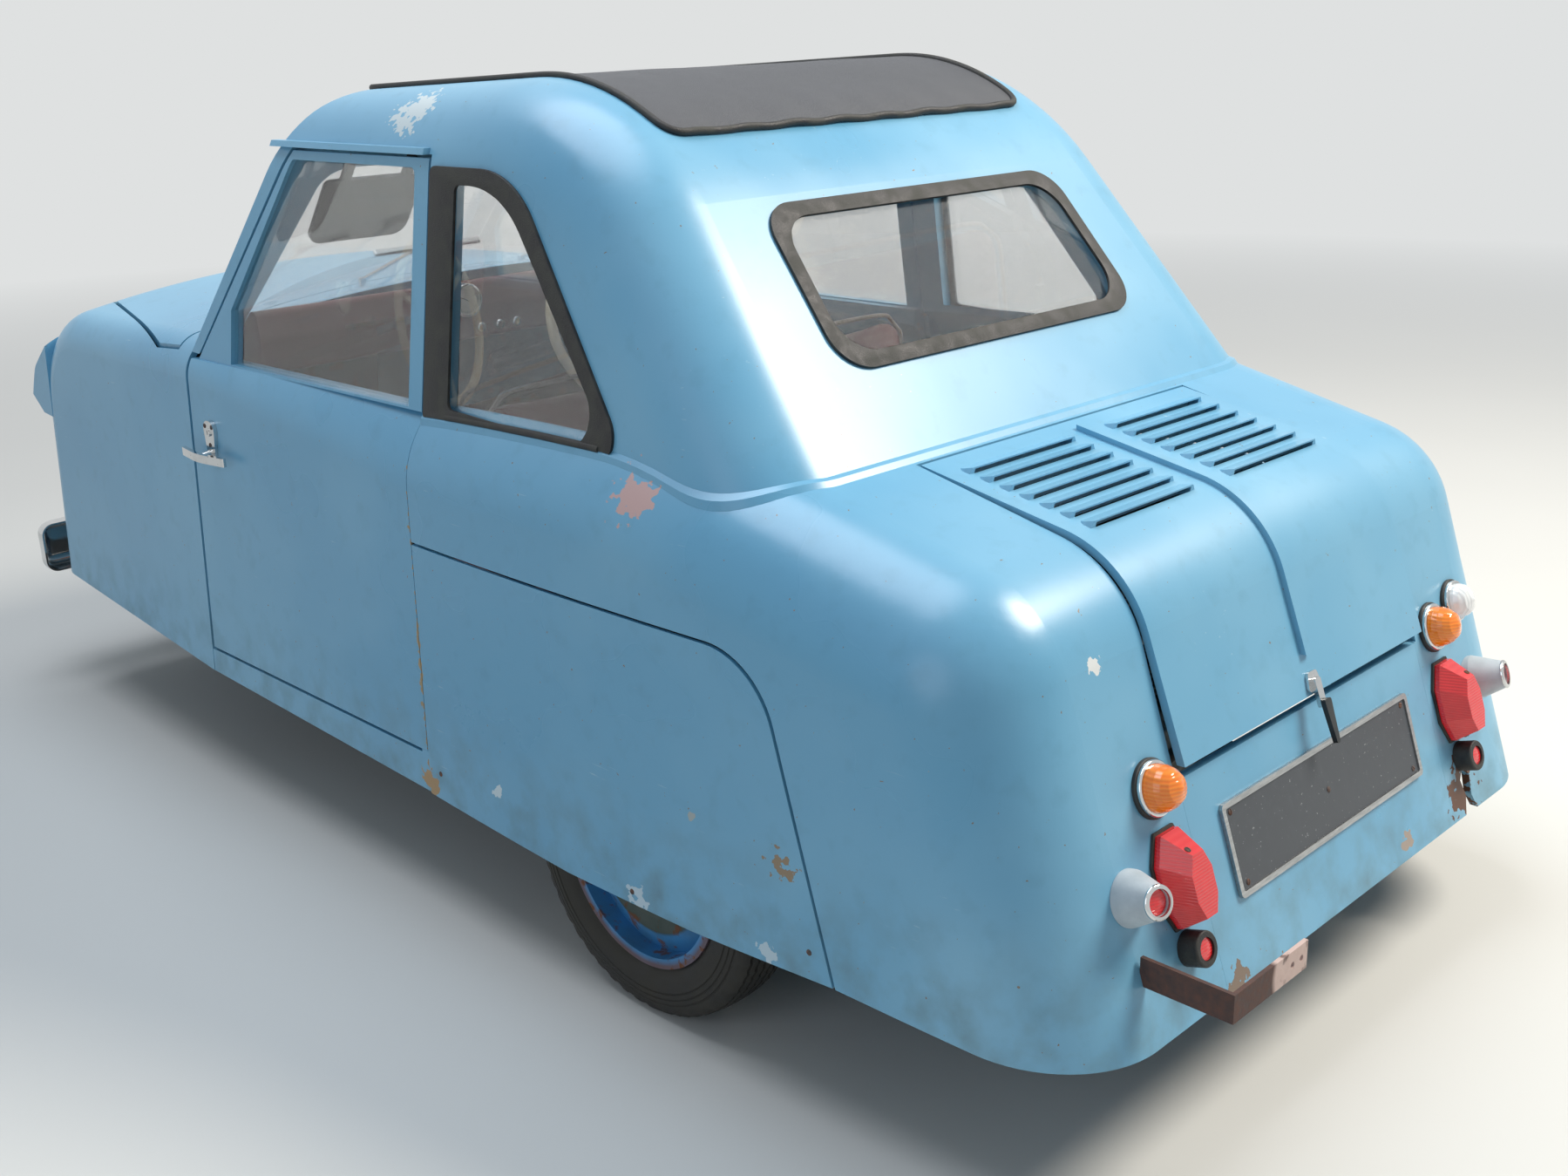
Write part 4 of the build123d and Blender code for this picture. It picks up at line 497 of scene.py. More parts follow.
def tree_of(*names):
    """Search tree over the faces of some CAD nodes."""
    bm = bmesh.new()
    for name in names:
        bm.from_mesh(NODES[name].data)
    found = BVHTree.FromBMesh(bm)
    bm.free()
    return found


def tube(name, points, radius, material, body, closed=True):
    """Round welt along a smooth line, as a mesh."""
    data = bpy.data.curves.new(name, "CURVE")
    data.dimensions = "3D"
    data.bevel_depth = radius
    data.bevel_resolution = 3
    data.resolution_u = 6
    data.use_fill_caps = True
    line = data.splines.new("NURBS")
    line.points.add(len(points) - 1)
    for spot, place in zip(line.points, points):
        spot.co = (*place, 1.0)
    line.order_u = 3
    line.use_cyclic_u = closed
    line.use_endpoint_u = not closed
    source = bpy.data.objects.new(name + "_line", data)
    bpy.context.scene.collection.objects.link(source)
    bm = bmesh.new()
    bm.from_mesh(bpy.data.meshes.new_from_object(source))
    bpy.data.objects.remove(source)
    return finished(name, bm, material, body, 60.0)


# Half of the tyre's section from bead to crown: offset from its middle plane and radius, in mm
TYRE_SECTION = (
    (40, 162.5), (41.5, 169), (46, 174), (50, 180), (52.2, 190), (53.2, 200), (53.6, 203.5), (52.0, 204.5),
    (52.0, 206), (53.7, 207), (53.5, 213), (51.7, 214), (51.7, 215.5), (53.0, 216.5), (52.4, 222),
    (50.4, 223), (50.2, 224.5), (51.6, 226), (50.6, 232), (49.4, 236), (46.5, 241.5), (42, 245),
    (38.5, 246.3), (37.5, 240.5), (34.5, 240.8), (33.5, 247.3), (24.5, 248.6), (23.5, 242.6),
    (20.5, 242.8), (19.5, 249.1), (9.5, 249.7), (8.5, 243.7), (5.5, 243.8), (4.5, 249.9),
)
# Steps of the spin, radius where the tread and the shoulder cuts start, and the ribs' half width and zigzag
TYRE_STEPS = 144
TREAD_FOOT = 0.240
SHOULDER_FOOT = 0.2345
RIB_EDGE = 0.040
ZIGZAG = 0.0017


class MICROCAR_OT_tyres(bpy.types.Operator):
    """Cross-ply tyres with ribbed walls and a zigzag road tread"""
    bl_idname = "microcar.tyres"
    bl_label = "Tyres"

    def execute(self, context):
        rubber = tyre_rubber()
        for node, body in (("front_tyre", "front_wheel"), ("rear_left_tyre", "rear_left_wheel"),
                           ("rear_right_tyre", "rear_right_wheel")):
            low, high = (Vector(corner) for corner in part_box(node))
            hub = (low + high) / 2
            bm = bmesh.new()
            half = [(x / 1000, r / 1000) for x, r in TYRE_SECTION]
            section = half + [(-x, r) for x, r in reversed(half)]
            verts = [bm.verts.new(hub + Vector((x, 0, r))) for x, r in section]
            edges = [bm.edges.new(pair) for pair in zip(verts, verts[1:] + verts[:1])]
            bmesh.ops.spin(bm, geom=verts + edges, cent=hub, axis=(1, 0, 0), angle=math.tau,
                           steps=TYRE_STEPS, use_merge=True)
            for vert in bm.verts:
                away = vert.co - hub
                radius = math.hypot(away.y, away.z)
                turn = round(math.atan2(away.z, away.y) / math.tau * TYRE_STEPS)
                if radius > TREAD_FOOT and abs(away.x) < RIB_EDGE:
                    vert.co.x += ZIGZAG if turn % 2 else -ZIGZAG
                elif radius > SHOULDER_FOOT and turn % 3 == 0:
                    shrink = (radius - sizes().tread_depth * 0.6) / radius
                    vert.co = Vector((vert.co.x, hub.y + away.y * shrink, hub.z + away.z * shrink))
            piece = finished(node + "_tread", bm, rubber, body, 30.0)
            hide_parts(node)
        return {"FINISHED"}


# The roof sheet: corner radius, drop below the CAD's skin, sag between its bows, wrinkles, thickness
ROOF_CORNER = 0.03
ROOF_DROP = 0.0035
ROOF_SAG = 0.005
ROOF_BOWS = 3
ROOF_WRINKLE = 0.0016
ROOF_THICKNESS = 0.0025
# Its rear hem: share of the length where it starts and that it takes, its puckers and their studs' spacing
HEM_START = 0.86
HEM_LENGTH = 0.14
HEM_PUCKER = 0.0035
HEM_STUDS = 0.105
# Points of the welt around the roof's edge
ROOF_EDGE_POINTS = 132


class MICROCAR_OT_fabric_roof(bpy.types.Operator):
    """Roll-back roof of leathercloth with its edge welt and fastened rear hem"""
    bl_idname = "microcar.fabric_roof"
    bl_label = "Fabric roof"

    def execute(self, context):
        cloth = leathercloth("roof_leathercloth", finishes().vinyl, "#52555A")
        roof = tree_of("soft_roof")
        low, high = (Vector(corner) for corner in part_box("soft_roof"))
        middle = (low + high) / 2
        half = (high - low) / 2
        inset = sizes().piping_radius * 0.6
        reach = (half.x - inset, half.y - inset)

        def drape(x, y):
            """Place on top of the CAD sheet, sagging between the roof bows and puckered at the hem."""
            dx, dy = x - middle.x, y - middle.y
            over = [max(abs(d) - (r - ROOF_CORNER), 0.0) for d, r in zip((dx, dy), reach)]
            away = math.hypot(*over)
            if away > ROOF_CORNER:
                dx -= math.copysign(over[0] * (1 - ROOF_CORNER / away), dx)
                dy -= math.copysign(over[1] * (1 - ROOF_CORNER / away), dy)
            spot = Vector((middle.x + dx, middle.y + dy, high.z + 0.1))
            found = roof.ray_cast(spot, Vector((0, 0, -1)))[0] or roof.find_nearest(spot)[0]
            across = max(0.0, 1 - (dx / reach[0]) ** 2)
            along = (found.y - low.y) / (high.y - low.y)
            sag = ROOF_SAG * across * math.sin(math.pi * min(1.0, along * ROOF_BOWS % 1.0)) ** 2
            rear = max(0.0, (along - HEM_START) / HEM_LENGTH)
            pucker = HEM_PUCKER * rear * math.sin(dx / HEM_STUDS * math.pi) ** 2
            soft = ROOF_WRINKLE * noise.noise(found * 9.0) * across
            return Vector((spot.x, spot.y, found.z - ROOF_DROP - sag + pucker + soft))

        bm = bmesh.new()
        bmesh.ops.create_grid(bm, x_segments=100, y_segments=96, size=1.0)
        for vert in bm.verts:
            vert.co = drape(middle.x + vert.co.x * reach[0], middle.y + vert.co.y * reach[1])
        bmesh.ops.dissolve_degenerate(bm, dist=0.0008, edges=bm.edges)
        edge = []
        for step in range(ROOF_EDGE_POINTS):
            turn = step / ROOF_EDGE_POINTS * math.tau
            out = 1 / max(abs(math.cos(turn)), abs(math.sin(turn)))
            edge.append(drape(middle.x + math.cos(turn) * out * reach[0],
                              middle.y + math.sin(turn) * out * reach[1]))
        piece = finished("fabric_roof_sheet", bm, cloth, "car_body", 60.0)
        wall = piece.modifiers.new("thickness", "SOLIDIFY")
        wall.thickness = ROOF_THICKNESS
        wall.offset = -1.0
        welt = tube("fabric_roof_welt", edge, sizes().piping_radius, seal_rubber(), "car_body")
        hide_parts("soft_roof")
        return {"FINISHED"}


# Cloth simulation of a pad: pressure inside it, and frames it runs for
PAD_PRESSURE = 4.0
PAD_FRAMES = 20


def swollen(bm, name, cell, travel):
    """A pad's mesh after it is remeshed and filled like a cushion, no point moving further than travel."""
    mesh = bpy.data.meshes.new(name)
    bm.to_mesh(mesh)
    bm.free()
    pad = bpy.data.objects.new(name, mesh)
    scene = bpy.context.scene
    scene.collection.objects.link(pad)
    remesh = pad.modifiers.new("remesh", "REMESH")
    remesh.mode = "VOXEL"
    remesh.voxel_size = cell
    graph = bpy.context.evaluated_depsgraph_get()
    even = bpy.data.meshes.new_from_object(pad.evaluated_get(graph))
    pad.modifiers.clear()
    pad.data = even
    rest = [v.co.copy() for v in even.vertices]
    cloth = pad.modifiers.new("cloth", "CLOTH")
    cloth.settings.use_pressure = True
    cloth.settings.uniform_pressure_force = PAD_PRESSURE
    cloth.settings.effector_weights.gravity = 0.0
    cloth.point_cache.frame_start = 1
    cloth.point_cache.frame_end = PAD_FRAMES
    for tick in range(1, PAD_FRAMES + 1):
        scene.frame_set(tick)
    graph = bpy.context.evaluated_depsgraph_get()
    full = bpy.data.meshes.new_from_object(pad.evaluated_get(graph))
    pad.modifiers.clear()
    scene.frame_set(1)
    for vert, first in zip(full.vertices, rest):
        moved = vert.co - first
        if moved.length > travel:
            vert.co = first + moved.normalized() * travel
    pad.data = full
    out = bmesh.new()
    out.from_mesh(pad.data)
    bpy.data.objects.remove(pad)
    return out


# Seat pads: node, and slope of the back in metres
SEAT_PADS = (("seat_cushion", 0.0), ("seat_back", 0.055))
# How far a pad is drawn in before it fills, its rounding, its remeshed cell and how far it fills
PAD_INSET = 0.016
PAD_ROUNDING = 0.035
PAD_CELL = 0.012
PAD_FILL = 0.024
# Sewn channels of the seat: spacing, depth and width
CHANNEL_PITCH = 0.12
CHANNEL_DEPTH = 0.007
CHANNEL_WIDTH = 0.011
# The seats' piping: its radius, and how it turns a corner
SEAT_PIPING = 0.0045
PIPING_TURN = 0.05


class MICROCAR_OT_seats(bpy.types.Operator):
    """Bench seat: two filled pads with sewn channels and a welt"""
    bl_idname = "microcar.seats"
    bl_label = "Bench seat"

    def execute(self, context):
        cover = leathercloth("seat_leathercloth", finishes().maroon, "#77373A", 3.0)
        piping = moulded_plastic("grey_piping", "#8F8D88", "#6E6B66")
        for node, lean in SEAT_PADS:
            low, high = (Vector(corner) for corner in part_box(node))
            middle = (low + high) / 2
            half = (high - low) / 2 - Vector((PAD_INSET,) * 3)
            half.y -= lean / 2
            bm = bmesh.new()
            bmesh.ops.create_cube(bm, size=2.0)
            for vert in bm.verts:
                vert.co = middle + Vector([c * h for c, h in zip(vert.co, half)])
                vert.co.y += lean / 2 * (vert.co.z - middle.z) / half.z
            round_edges(bm, bm.edges[:], PAD_ROUNDING, 4)
            bm = swollen(bm, node + "_pad", PAD_CELL, PAD_FILL)
            upright = lean > 0
            for vert in bm.verts:
                seam = (vert.co.x - middle.x) % CHANNEL_PITCH - CHANNEL_PITCH / 2
                face = vert.co.y < middle.y if upright else vert.co.z > middle.z
                inside = abs(vert.co.x - middle.x) < half.x - CHANNEL_PITCH / 2
                if face and inside:
                    pull = CHANNEL_DEPTH * math.exp(-(seam / CHANNEL_WIDTH) ** 2)
                    vert.co += Vector((0, pull, 0)) if upright else Vector((0, 0, -pull))
                vert.co = Vector([min(max(c, a), b) for c, a, b in zip(vert.co, low, high)])
            piece = finished(node + "_pad", bm, cover, "car_body", 70.0)
            smooth = piece.modifiers.new("smooth", "SUBSURF")
            smooth.levels = smooth.render_levels = 1
            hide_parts(node)
            wide, turn = half.x + 0.004, PIPING_TURN
            if upright:
                top, y = high.z - 0.012, high.y - 0.055
                foot = (y - 0.05, middle.z - 0.12)
                corners = [(-wide, *foot), (-wide, y, top - turn), (-wide + turn, y, top),
                           (0, y, top + 0.002), (wide - turn, y, top), (wide, y, top - turn), (wide, *foot)]
            else:
                front, z = low.y + 0.012, high.z - 0.03
                foot = (high.y - 0.08, z)
                corners = [(-wide, *foot), (-wide, front + turn, z), (-wide + turn, front, z),
                           (0, front - 0.002, z), (wide - turn, front, z), (wide, front + turn, z),
                           (wide, *foot)]
            points = []
            for a, b in zip(corners, corners[1:]):
                points += [Vector(a).lerp(Vector(b), t / 3) for t in range(3)]
            welt = tube(node + "_welt", points, SEAT_PIPING, piping, "car_body", closed=False)
        return {"FINISHED"}


# Rolled edge of the window rubbers
SEAL_EDGE = 0.0018
# Strips below the quarter windows: first place and run along the car, spans, and radius
STRIP_START_Y = 0.200
STRIP_RUN = 0.380
STRIP_SPANS = 16
STRIP_RADIUS = 0.006


class MICROCAR_OT_seals(bpy.types.Operator):
    """Window rubbers with rolled edges"""
    bl_idname = "microcar.seals"
    bl_label = "Window rubbers"

    def execute(self, context):
        bm = bmesh.new()
        bm.from_mesh(NODES["window_rubbers"].data)
        bmesh.ops.remove_doubles(bm, verts=bm.verts, dist=0.00005)
        bmesh.ops.dissolve_limit(bm, angle_limit=math.radians(1.5), verts=bm.verts, edges=bm.edges)
        sharp = [e for e in bm.edges if e.is_manifold and e.calc_face_angle(0.0) > math.radians(50)]
        round_edges(bm, sharp, SEAL_EDGE, 3)
        rubber = seal_rubber()
        piece = finished("window_seals", bm, rubber, "car_body", 40.0)
        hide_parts("window_rubbers")
        glass, body = tree_of("quarter_windows"), tree_of("rear_shell", "cab_shell")
        for side, name in ((1, "left"), (-1, "right")):
            points = []
            for step in range(STRIP_SPANS + 1):
                y = STRIP_START_Y + STRIP_RUN * step / STRIP_SPANS
                pane = glass.ray_cast(Vector((side * 2, y, 0.885)), Vector((-side, 0, 0)))[0]
                seat = body.ray_cast(Vector((pane.x + side * 0.006, y, 0.93)), Vector((0, 0, -1)))[0]
                points.append(Vector((pane.x + side * 0.004, y, seat.z + 0.002)))
            strip = tube("quarter_strip_" + name, points, STRIP_RADIUS, rubber, "car_body", closed=False)
        return {"FINISHED"}


# A screw head's dome, slot depth and slot half width, as shares of its radius
SCREW_DOME = 0.42
SLOT_DEPTH = 0.20
SLOT_HALF = 0.16


def screw_head(bm, place, normal, radius, turn):
    """Raised slotted screw head whose rim lies on a surface."""
    head = bmesh.new()
    bmesh.ops.create_grid(head, x_segments=14, y_segments=14, size=1.0)
    for vert in head.verts:
        x, y = vert.co.x, vert.co.y
        disc_x, disc_y = x * math.sqrt(1 - y * y / 2), y * math.sqrt(1 - x * x / 2)
        dome = SCREW_DOME * math.sqrt(max(0.0, 1.05 - disc_x ** 2 - disc_y ** 2))
        slot = SLOT_DEPTH if abs(x) < SLOT_HALF else 0.0
        vert.co = Vector((disc_x, disc_y, max(0.02, dome - slot))) * radius
    rim = [e for e in head.edges if e.is_boundary]
    skirt = bmesh.ops.extrude_edge_only(head, edges=rim)["geom"]
    lowered = [v for v in skirt if isinstance(v, bmesh.types.BMVert)]
    bmesh.ops.translate(head, verts=lowered, vec=(0, 0, -0.4 * radius))
    bmesh.ops.contextual_create(head, geom=[e for e in head.edges if e.is_boundary])
    aim = normal.to_track_quat("Z", "Y").to_matrix().to_4x4()
    place = Matrix.Translation(place) @ aim @ Matrix.Rotation(turn, 4, "Z")
    bmesh.ops.transform(head, matrix=place, verts=head.verts)
    mesh = bpy.data.meshes.new("head")
    head.to_mesh(mesh)
    head.free()
    bm.from_mesh(mesh)
    bpy.data.meshes.remove(mesh)


# Rows of screws: piece, body, nodes they sit on, way to look for the surface, and places in metres
SCREW_ROWS = (
    ("plate_screws", "car_body", ("number_plate",), (0, -1, 0),
     ((0.247, 2, 0.421), (-0.247, 2, 0.421), (0.243, 2, 0.326), (-0.243, 2, 0.326), (0.0, 2, 0.372))),
    ("left_panel_screws", "car_body", ("side_panel_left",), (-1, 0, 0),
     ((2, 0.171, 0.258), (2, 0.673, 0.222), (2, 1.030, 0.256))),
    ("right_panel_screws", "car_body", ("side_panel_right",), (1, 0, 0),
     ((-2, 0.171, 0.258), (-2, 0.673, 0.222), (-2, 1.030, 0.256))),
    ("lens_screws", "car_body", ("tail_lamps",), (0, -1, 0),
     ((0.405, 2, 0.437), (0.385, 2, 0.340), (-0.405, 2, 0.437), (-0.385, 2, 0.340))),
    ("left_handle_screws", "left_door", ("door_handle_left",), (-1, 0, 0),
     ((2, -0.569, 0.747), (2, -0.543, 0.747), (2, -0.556, 0.711))),
    ("right_handle_screws", "right_door", ("door_handle_right",), (1, 0, 0),
     ((-2, -0.569, 0.747), (-2, -0.543, 0.747), (-2, -0.556, 0.711))),
)


class MICROCAR_OT_screws(bpy.types.Operator):
    """Slotted screws of the number plate, side panels, lenses and handles"""
    bl_idname = "microcar.screws"
    bl_label = "Screws"

    def execute(self, context):
        steel = rusty_steel()
        for name, body, nodes, way, places in SCREW_ROWS:
            surface = tree_of(*nodes)
            bm = bmesh.new()
            for count, place in enumerate(places):
                hit, normal = surface.ray_cast(Vector(place), Vector(way))[:2]
                if hit is None:
                    raise RuntimeError(f"{name} {place} misses its panel")
                if normal.dot(Vector(way)) > 0:
                    normal = -normal
                screw_head(bm, hit, normal, sizes().screw_radius, count * 1.3)
            piece = finished(name, bm, steel, body, 30.0)
        return {"FINISHED"}


def block(bm, centre, size, round_by, segments=3):
    """Box with rounded edges."""
    made = bmesh.ops.create_cube(bm, size=1.0)["verts"]
    bmesh.ops.scale(bm, vec=size, verts=made)
    bmesh.ops.translate(bm, vec=centre, verts=made)
    round_edges(bm, list(dict.fromkeys(e for v in made for e in v.link_edges)), round_by, segments)


def drum(bm, centre, axis, radius, depth, top=None, round_by=0.0, sides=40):
    """Round body along an axis, its far end of another radius where one is given."""
    made = bmesh.ops.create_cone(bm, cap_ends=True, segments=sides, radius1=radius,
                                 radius2=radius if top is None else top, depth=depth)["verts"]
    if round_by:
        rims = dict.fromkeys(e for v in made for e in v.link_edges
                             if abs(e.verts[0].co.z - e.verts[1].co.z) < depth * 0.01)
        made = round_edges(bm, list(rims), round_by, 2) + made
    made = list(dict.fromkeys(v for v in made if v.is_valid))
    turn = Vector(axis).to_track_quat("Z", "Y").to_matrix().to_4x4()
    bmesh.ops.transform(bm, matrix=Matrix.Translation(centre) @ turn, verts=made)


# Offsets of the two barrels from the middle, and their place along the car, in metres
BARREL_X = (-0.062, 0.062)
BARREL_Y = 1.045
# Cooling fins of a barrel: height of the lowest, spacing, count. Ribs of its head: count, spacing
FIN_FOOT = 0.418
FIN_PITCH = 0.011
FIN_COUNT = 9
HEAD_RIBS = 5
HEAD_RIB_PITCH = 0.02
# The cross member that carries the engine: its middle and its top, in metres
ENGINE_BEARER_Y = 0.880
RAIL_TOP = 0.262
# Fan of the cowl: middle of its ring of vanes, radius of that ring and count of vanes
FAN_PLACE = (-0.1845, 0.940, 0.430)
VANE_RING = 0.052
VANES = 18
# Outer radius of the exhaust pipes
EXHAUST_RADIUS = 0.013


class MICROCAR_OT_engine(bpy.types.Operator):
    """Guessed air-cooled twin in the tail: cases, finned barrels, fan cowl, intake and exhaust"""
    bl_idname = "microcar.engine"
    bl_label = "Engine"

    def execute(self, context):
        alloy = cast_alloy()
        bm = bmesh.new()
        block(bm, (0, 1.02, 0.340), (0.30, 0.20, 0.140), 0.022)
        block(bm, (0, 0.885, 0.330), (0.20, 0.12, 0.118), 0.026)
        drum(bm, (0, 1.127, 0.340), (0, 1, 0), 0.058, 0.030, 0.050, 0.004)
        for side in (-1, 1):
            block(bm, (side * 0.070, ENGINE_BEARER_Y, RAIL_TOP + 0.0121), (0.050, 0.036, 0.024),
                  0.003, 2)
            for spot in (0.95, 1.09):
                drum(bm, (side * 0.128, spot, 0.412), (0, 0, 1), 0.0075, 0.010, 0.006, 0.0, 6)
        for x in BARREL_X:
            drum(bm, (x, BARREL_Y, 0.465), (0, 0, 1), 0.041, 0.115)
            for count in range(FIN_COUNT):
                block(bm, (x, BARREL_Y, FIN_FOOT + count * FIN_PITCH), (0.112, 0.112, 0.0042), 0.0015, 1)
            block(bm, (x, BARREL_Y, 0.527), (0.110, 0.110, 0.016), 0.006)
            for count in range(HEAD_RIBS):
                rib_x = x - 0.04 + count * HEAD_RIB_PITCH
                block(bm, (rib_x, BARREL_Y, 0.541), (0.005, 0.098, 0.018), 0.001, 1)
            drum(bm, (x, BARREL_Y, 0.556), (0, 0, 1), 0.010, 0.020, 0.010, 0.0, 6)
            drum(bm, (x, BARREL_Y, 0.574), (0, 0, 1), 0.0065, 0.022, 0.0045)
        drum(bm, (0.0, 0.938, 0.452), (0, 1, 0), 0.022, 0.075, 0.018, 0.002)
        drum(bm, (0.0, 0.925, 0.418), (0, 0, 1), 0.021, 0.045, 0.021, 0.003)
        cases = finished("engine_cases", bm, alloy, "car_body", 32.0)
        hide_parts("engine_block")
        bm = bmesh.new()
        block(bm, (-0.148, 0.965, 0.450), (0.062, 0.190, 0.190), 0.024)
        drum(bm, (-0.166, 0.940, 0.430), (-1, 0, 0), 0.088, 0.036, 0.080, 0.004, 56)
        fan_x, fan_y, fan_z = FAN_PLACE
        for count in range(VANES):
            angle = count / VANES * math.tau
            spot = Vector((fan_x, fan_y + VANE_RING * math.cos(angle), fan_z + VANE_RING * math.sin(angle)))
            made = bmesh.ops.create_cube(bm, size=1.0)["verts"]
            bmesh.ops.scale(bm, vec=(0.005, 0.044, 0.004), verts=made)
            bmesh.ops.rotate(bm, cent=(0, 0, 0), matrix=Matrix.Rotation(angle, 3, "X"), verts=made)
            bmesh.ops.translate(bm, vec=spot, verts=made)
        drum(bm, (0.0, 0.872, 0.452), (0, 1, 0), 0.040, 0.060, 0.040, 0.006)
        tinware = moulded_plastic("stoved_black_tinware", "#202325", "#45423B")
        tin = finished("engine_cowl", bm, tinware, "car_body", 32.0)
        for x, name in zip(BARREL_X, ("right", "left")):
            way = [(x, 1.098, 0.440), (x, 1.128, 0.437), (x * 1.2, 1.146, 0.410), (x * 1.7, 1.142, 0.360),
                   (0.120, 1.135, 0.318), (0.150, 1.090, 0.300)]
            pipe = tube("exhaust_pipe_" + name, way, EXHAUST_RADIUS, rusty_steel(), "car_body", closed=False)
        return {"FINISHED"}


# Weather strips: foot and height on the door, spans, where the door's side is felt, the strip's line, radius
DOOR_STRIP_Z = 0.62
DOOR_STRIP_HEIGHT = 0.15
DOOR_STRIP_SPANS = 11
DOOR_FEEL_Y = 0.124
DOOR_STRIP_Y = 0.1318
DOOR_STRIP_RADIUS = 0.0024


class MICROCAR_OT_door_strips(bpy.types.Operator):
    """Weather strip that bulges from the rear edge of each door"""
    bl_idname = "microcar.door_strips"
    bl_label = "Door strips"

    def execute(self, context):
        rubber = seal_rubber()
        for side, name, body in ((1, "left", "left_door"), (-1, "right", "right_door")):
            surface = tree_of("door_" + name)
            points = []
            for step in range(DOOR_STRIP_SPANS + 1):
                z = DOOR_STRIP_Z + DOOR_STRIP_HEIGHT * step / DOOR_STRIP_SPANS
                hit = surface.ray_cast(Vector((side * 2, DOOR_FEEL_Y, z)), Vector((-side, 0, 0)))[0]
                swell = 0.0022 * math.sin(step / DOOR_STRIP_SPANS * math.pi)
                points.append(Vector((hit.x - side * (0.0035 - swell), DOOR_STRIP_Y, z)))
            piece = tube("door_strip_" + name, points, DOOR_STRIP_RADIUS, rubber, body, closed=False)
        return {"FINISHED"}


# Instrument: place of its face, radius, sweep of its marks in degrees, and how many there are
DIAL_X = 0.09
DIAL_Z = 0.915
DIAL_RADIUS = 0.0305
DIAL_SWEEP = 260
DIAL_MARKS = 21


class MICROCAR_OT_dial(bpy.types.Operator):
    """Face of the round instrument, with a plain ring of marks and a needle"""
    bl_idname = "microcar.dial"
    bl_label = "Instrument face"

    def execute(self, context):
        centre = Vector((DIAL_X, 0.0, DIAL_Z))
        found = tree_of("dash_fittings").ray_cast(centre + Vector((0, 0.5, 0)), Vector((0, -1, 0)))[0]
        face = Vector((centre.x, found.y + 0.0008, centre.z))
        bm = bmesh.new()
        bmesh.ops.create_circle(bm, cap_ends=True, segments=64, radius=DIAL_RADIUS)
        bmesh.ops.extrude_face_region(bm, geom=bm.faces[:])
        bmesh.ops.translate(bm, verts=bm.verts[:64], vec=(0, 0, -0.0006))
        turn = Matrix.Translation(face) @ Matrix.Rotation(-math.pi / 2, 4, "X")
        bmesh.ops.transform(bm, matrix=turn, verts=bm.verts)
        piece = finished("dial_face", bm, moulded_plastic("dial_card", "#C9C5B4", "#B3AE9B"), "car_body")
        bm = bmesh.new()
        for count in range(DIAL_MARKS + 1):
            needle = count == DIAL_MARKS
            size = (0.0008, 0.0060 if count % 5 == 0 else 0.0035, 0.0006)
            angle = math.radians(-130 + DIAL_SWEEP * count / DIAL_MARKS)
            if needle:
                size = (0.0011, 0.021, 0.0008)
                angle = math.radians(-118)
            made = bmesh.ops.create_cube(bm, size=1.0)["verts"]
            bmesh.ops.scale(bm, vec=size, verts=made)
            reach = 0.007 if needle else 0.0265 - size[1] / 2
            bmesh.ops.translate(bm, vec=(0, reach, 0.0005), verts=made)
            bmesh.ops.rotate(bm, cent=(0, 0, 0), matrix=Matrix.Rotation(angle, 3, "Z"), verts=made)
        bmesh.ops.transform(bm, matrix=turn, verts=bm.verts)
        piece = finished("dial_marks", bm, moulded_plastic("dial_ink", "#1B1D1F", "#303335"), "car_body")
        return {"FINISHED"}


def seen_ray(where):
    """1 for rays from the camera, from mirrors and through glass."""
    path = add(where, "LightPath").outputs
    return weigh(path["Is Camera Ray"], path["Is Glossy Ray"], path["Is Transmission Ray"])


def soft_light(name, place, target, size, power, tint):
    """Round area lamp that looks at a point."""
    data = bpy.data.lights.new(name, "AREA")
    data.shape = "DISK"
    data.size = size
    data.energy = power
    data.color = linear(tint)[:3]
    lamp = bpy.data.objects.new(name, data)
    lamp.location = place
    lamp.rotation_euler = (Vector(target) - Vector(place)).to_track_quat("-Z", "Y").to_euler()
    bpy.context.scene.collection.objects.link(lamp)


# Lamps: name, place, what it looks at, size, power and tint
LIGHTS = (
    ("key_light", (-3.2, 3.4, 5.2), (0, 0.3, 0.7), 2.6, 470, "#FFF6EA"),
    ("top_light", (0.6, -1.0, 5.6), (0, 0, 0.8), 4.0, 180, "#F2F6FF"),
    ("side_light", (5.2, 1.6, 2.6), (0, 0, 0.6), 3.2, 34, "#EAF1FF"),
)
# Backdrop colour, sky light and its strength, and where the floor starts and ends to fade into them
BACKDROP = "#DFE1E1"
SKY = "#C9D6E2"
SKY_STRENGTH = 0.34
FADE_START = 1.6
FADE_END = 9.0
# Camera solved from the photograph: place in metres, lens in mm, and its three angles in degrees
CAMERA_PLACE = (2.117, 2.446, 1.445)
CAMERA_LENS = 39.03
CAMERA_AZIMUTH = 135.27
CAMERA_ELEVATION = 18.46
CAMERA_ROLL = -1.70


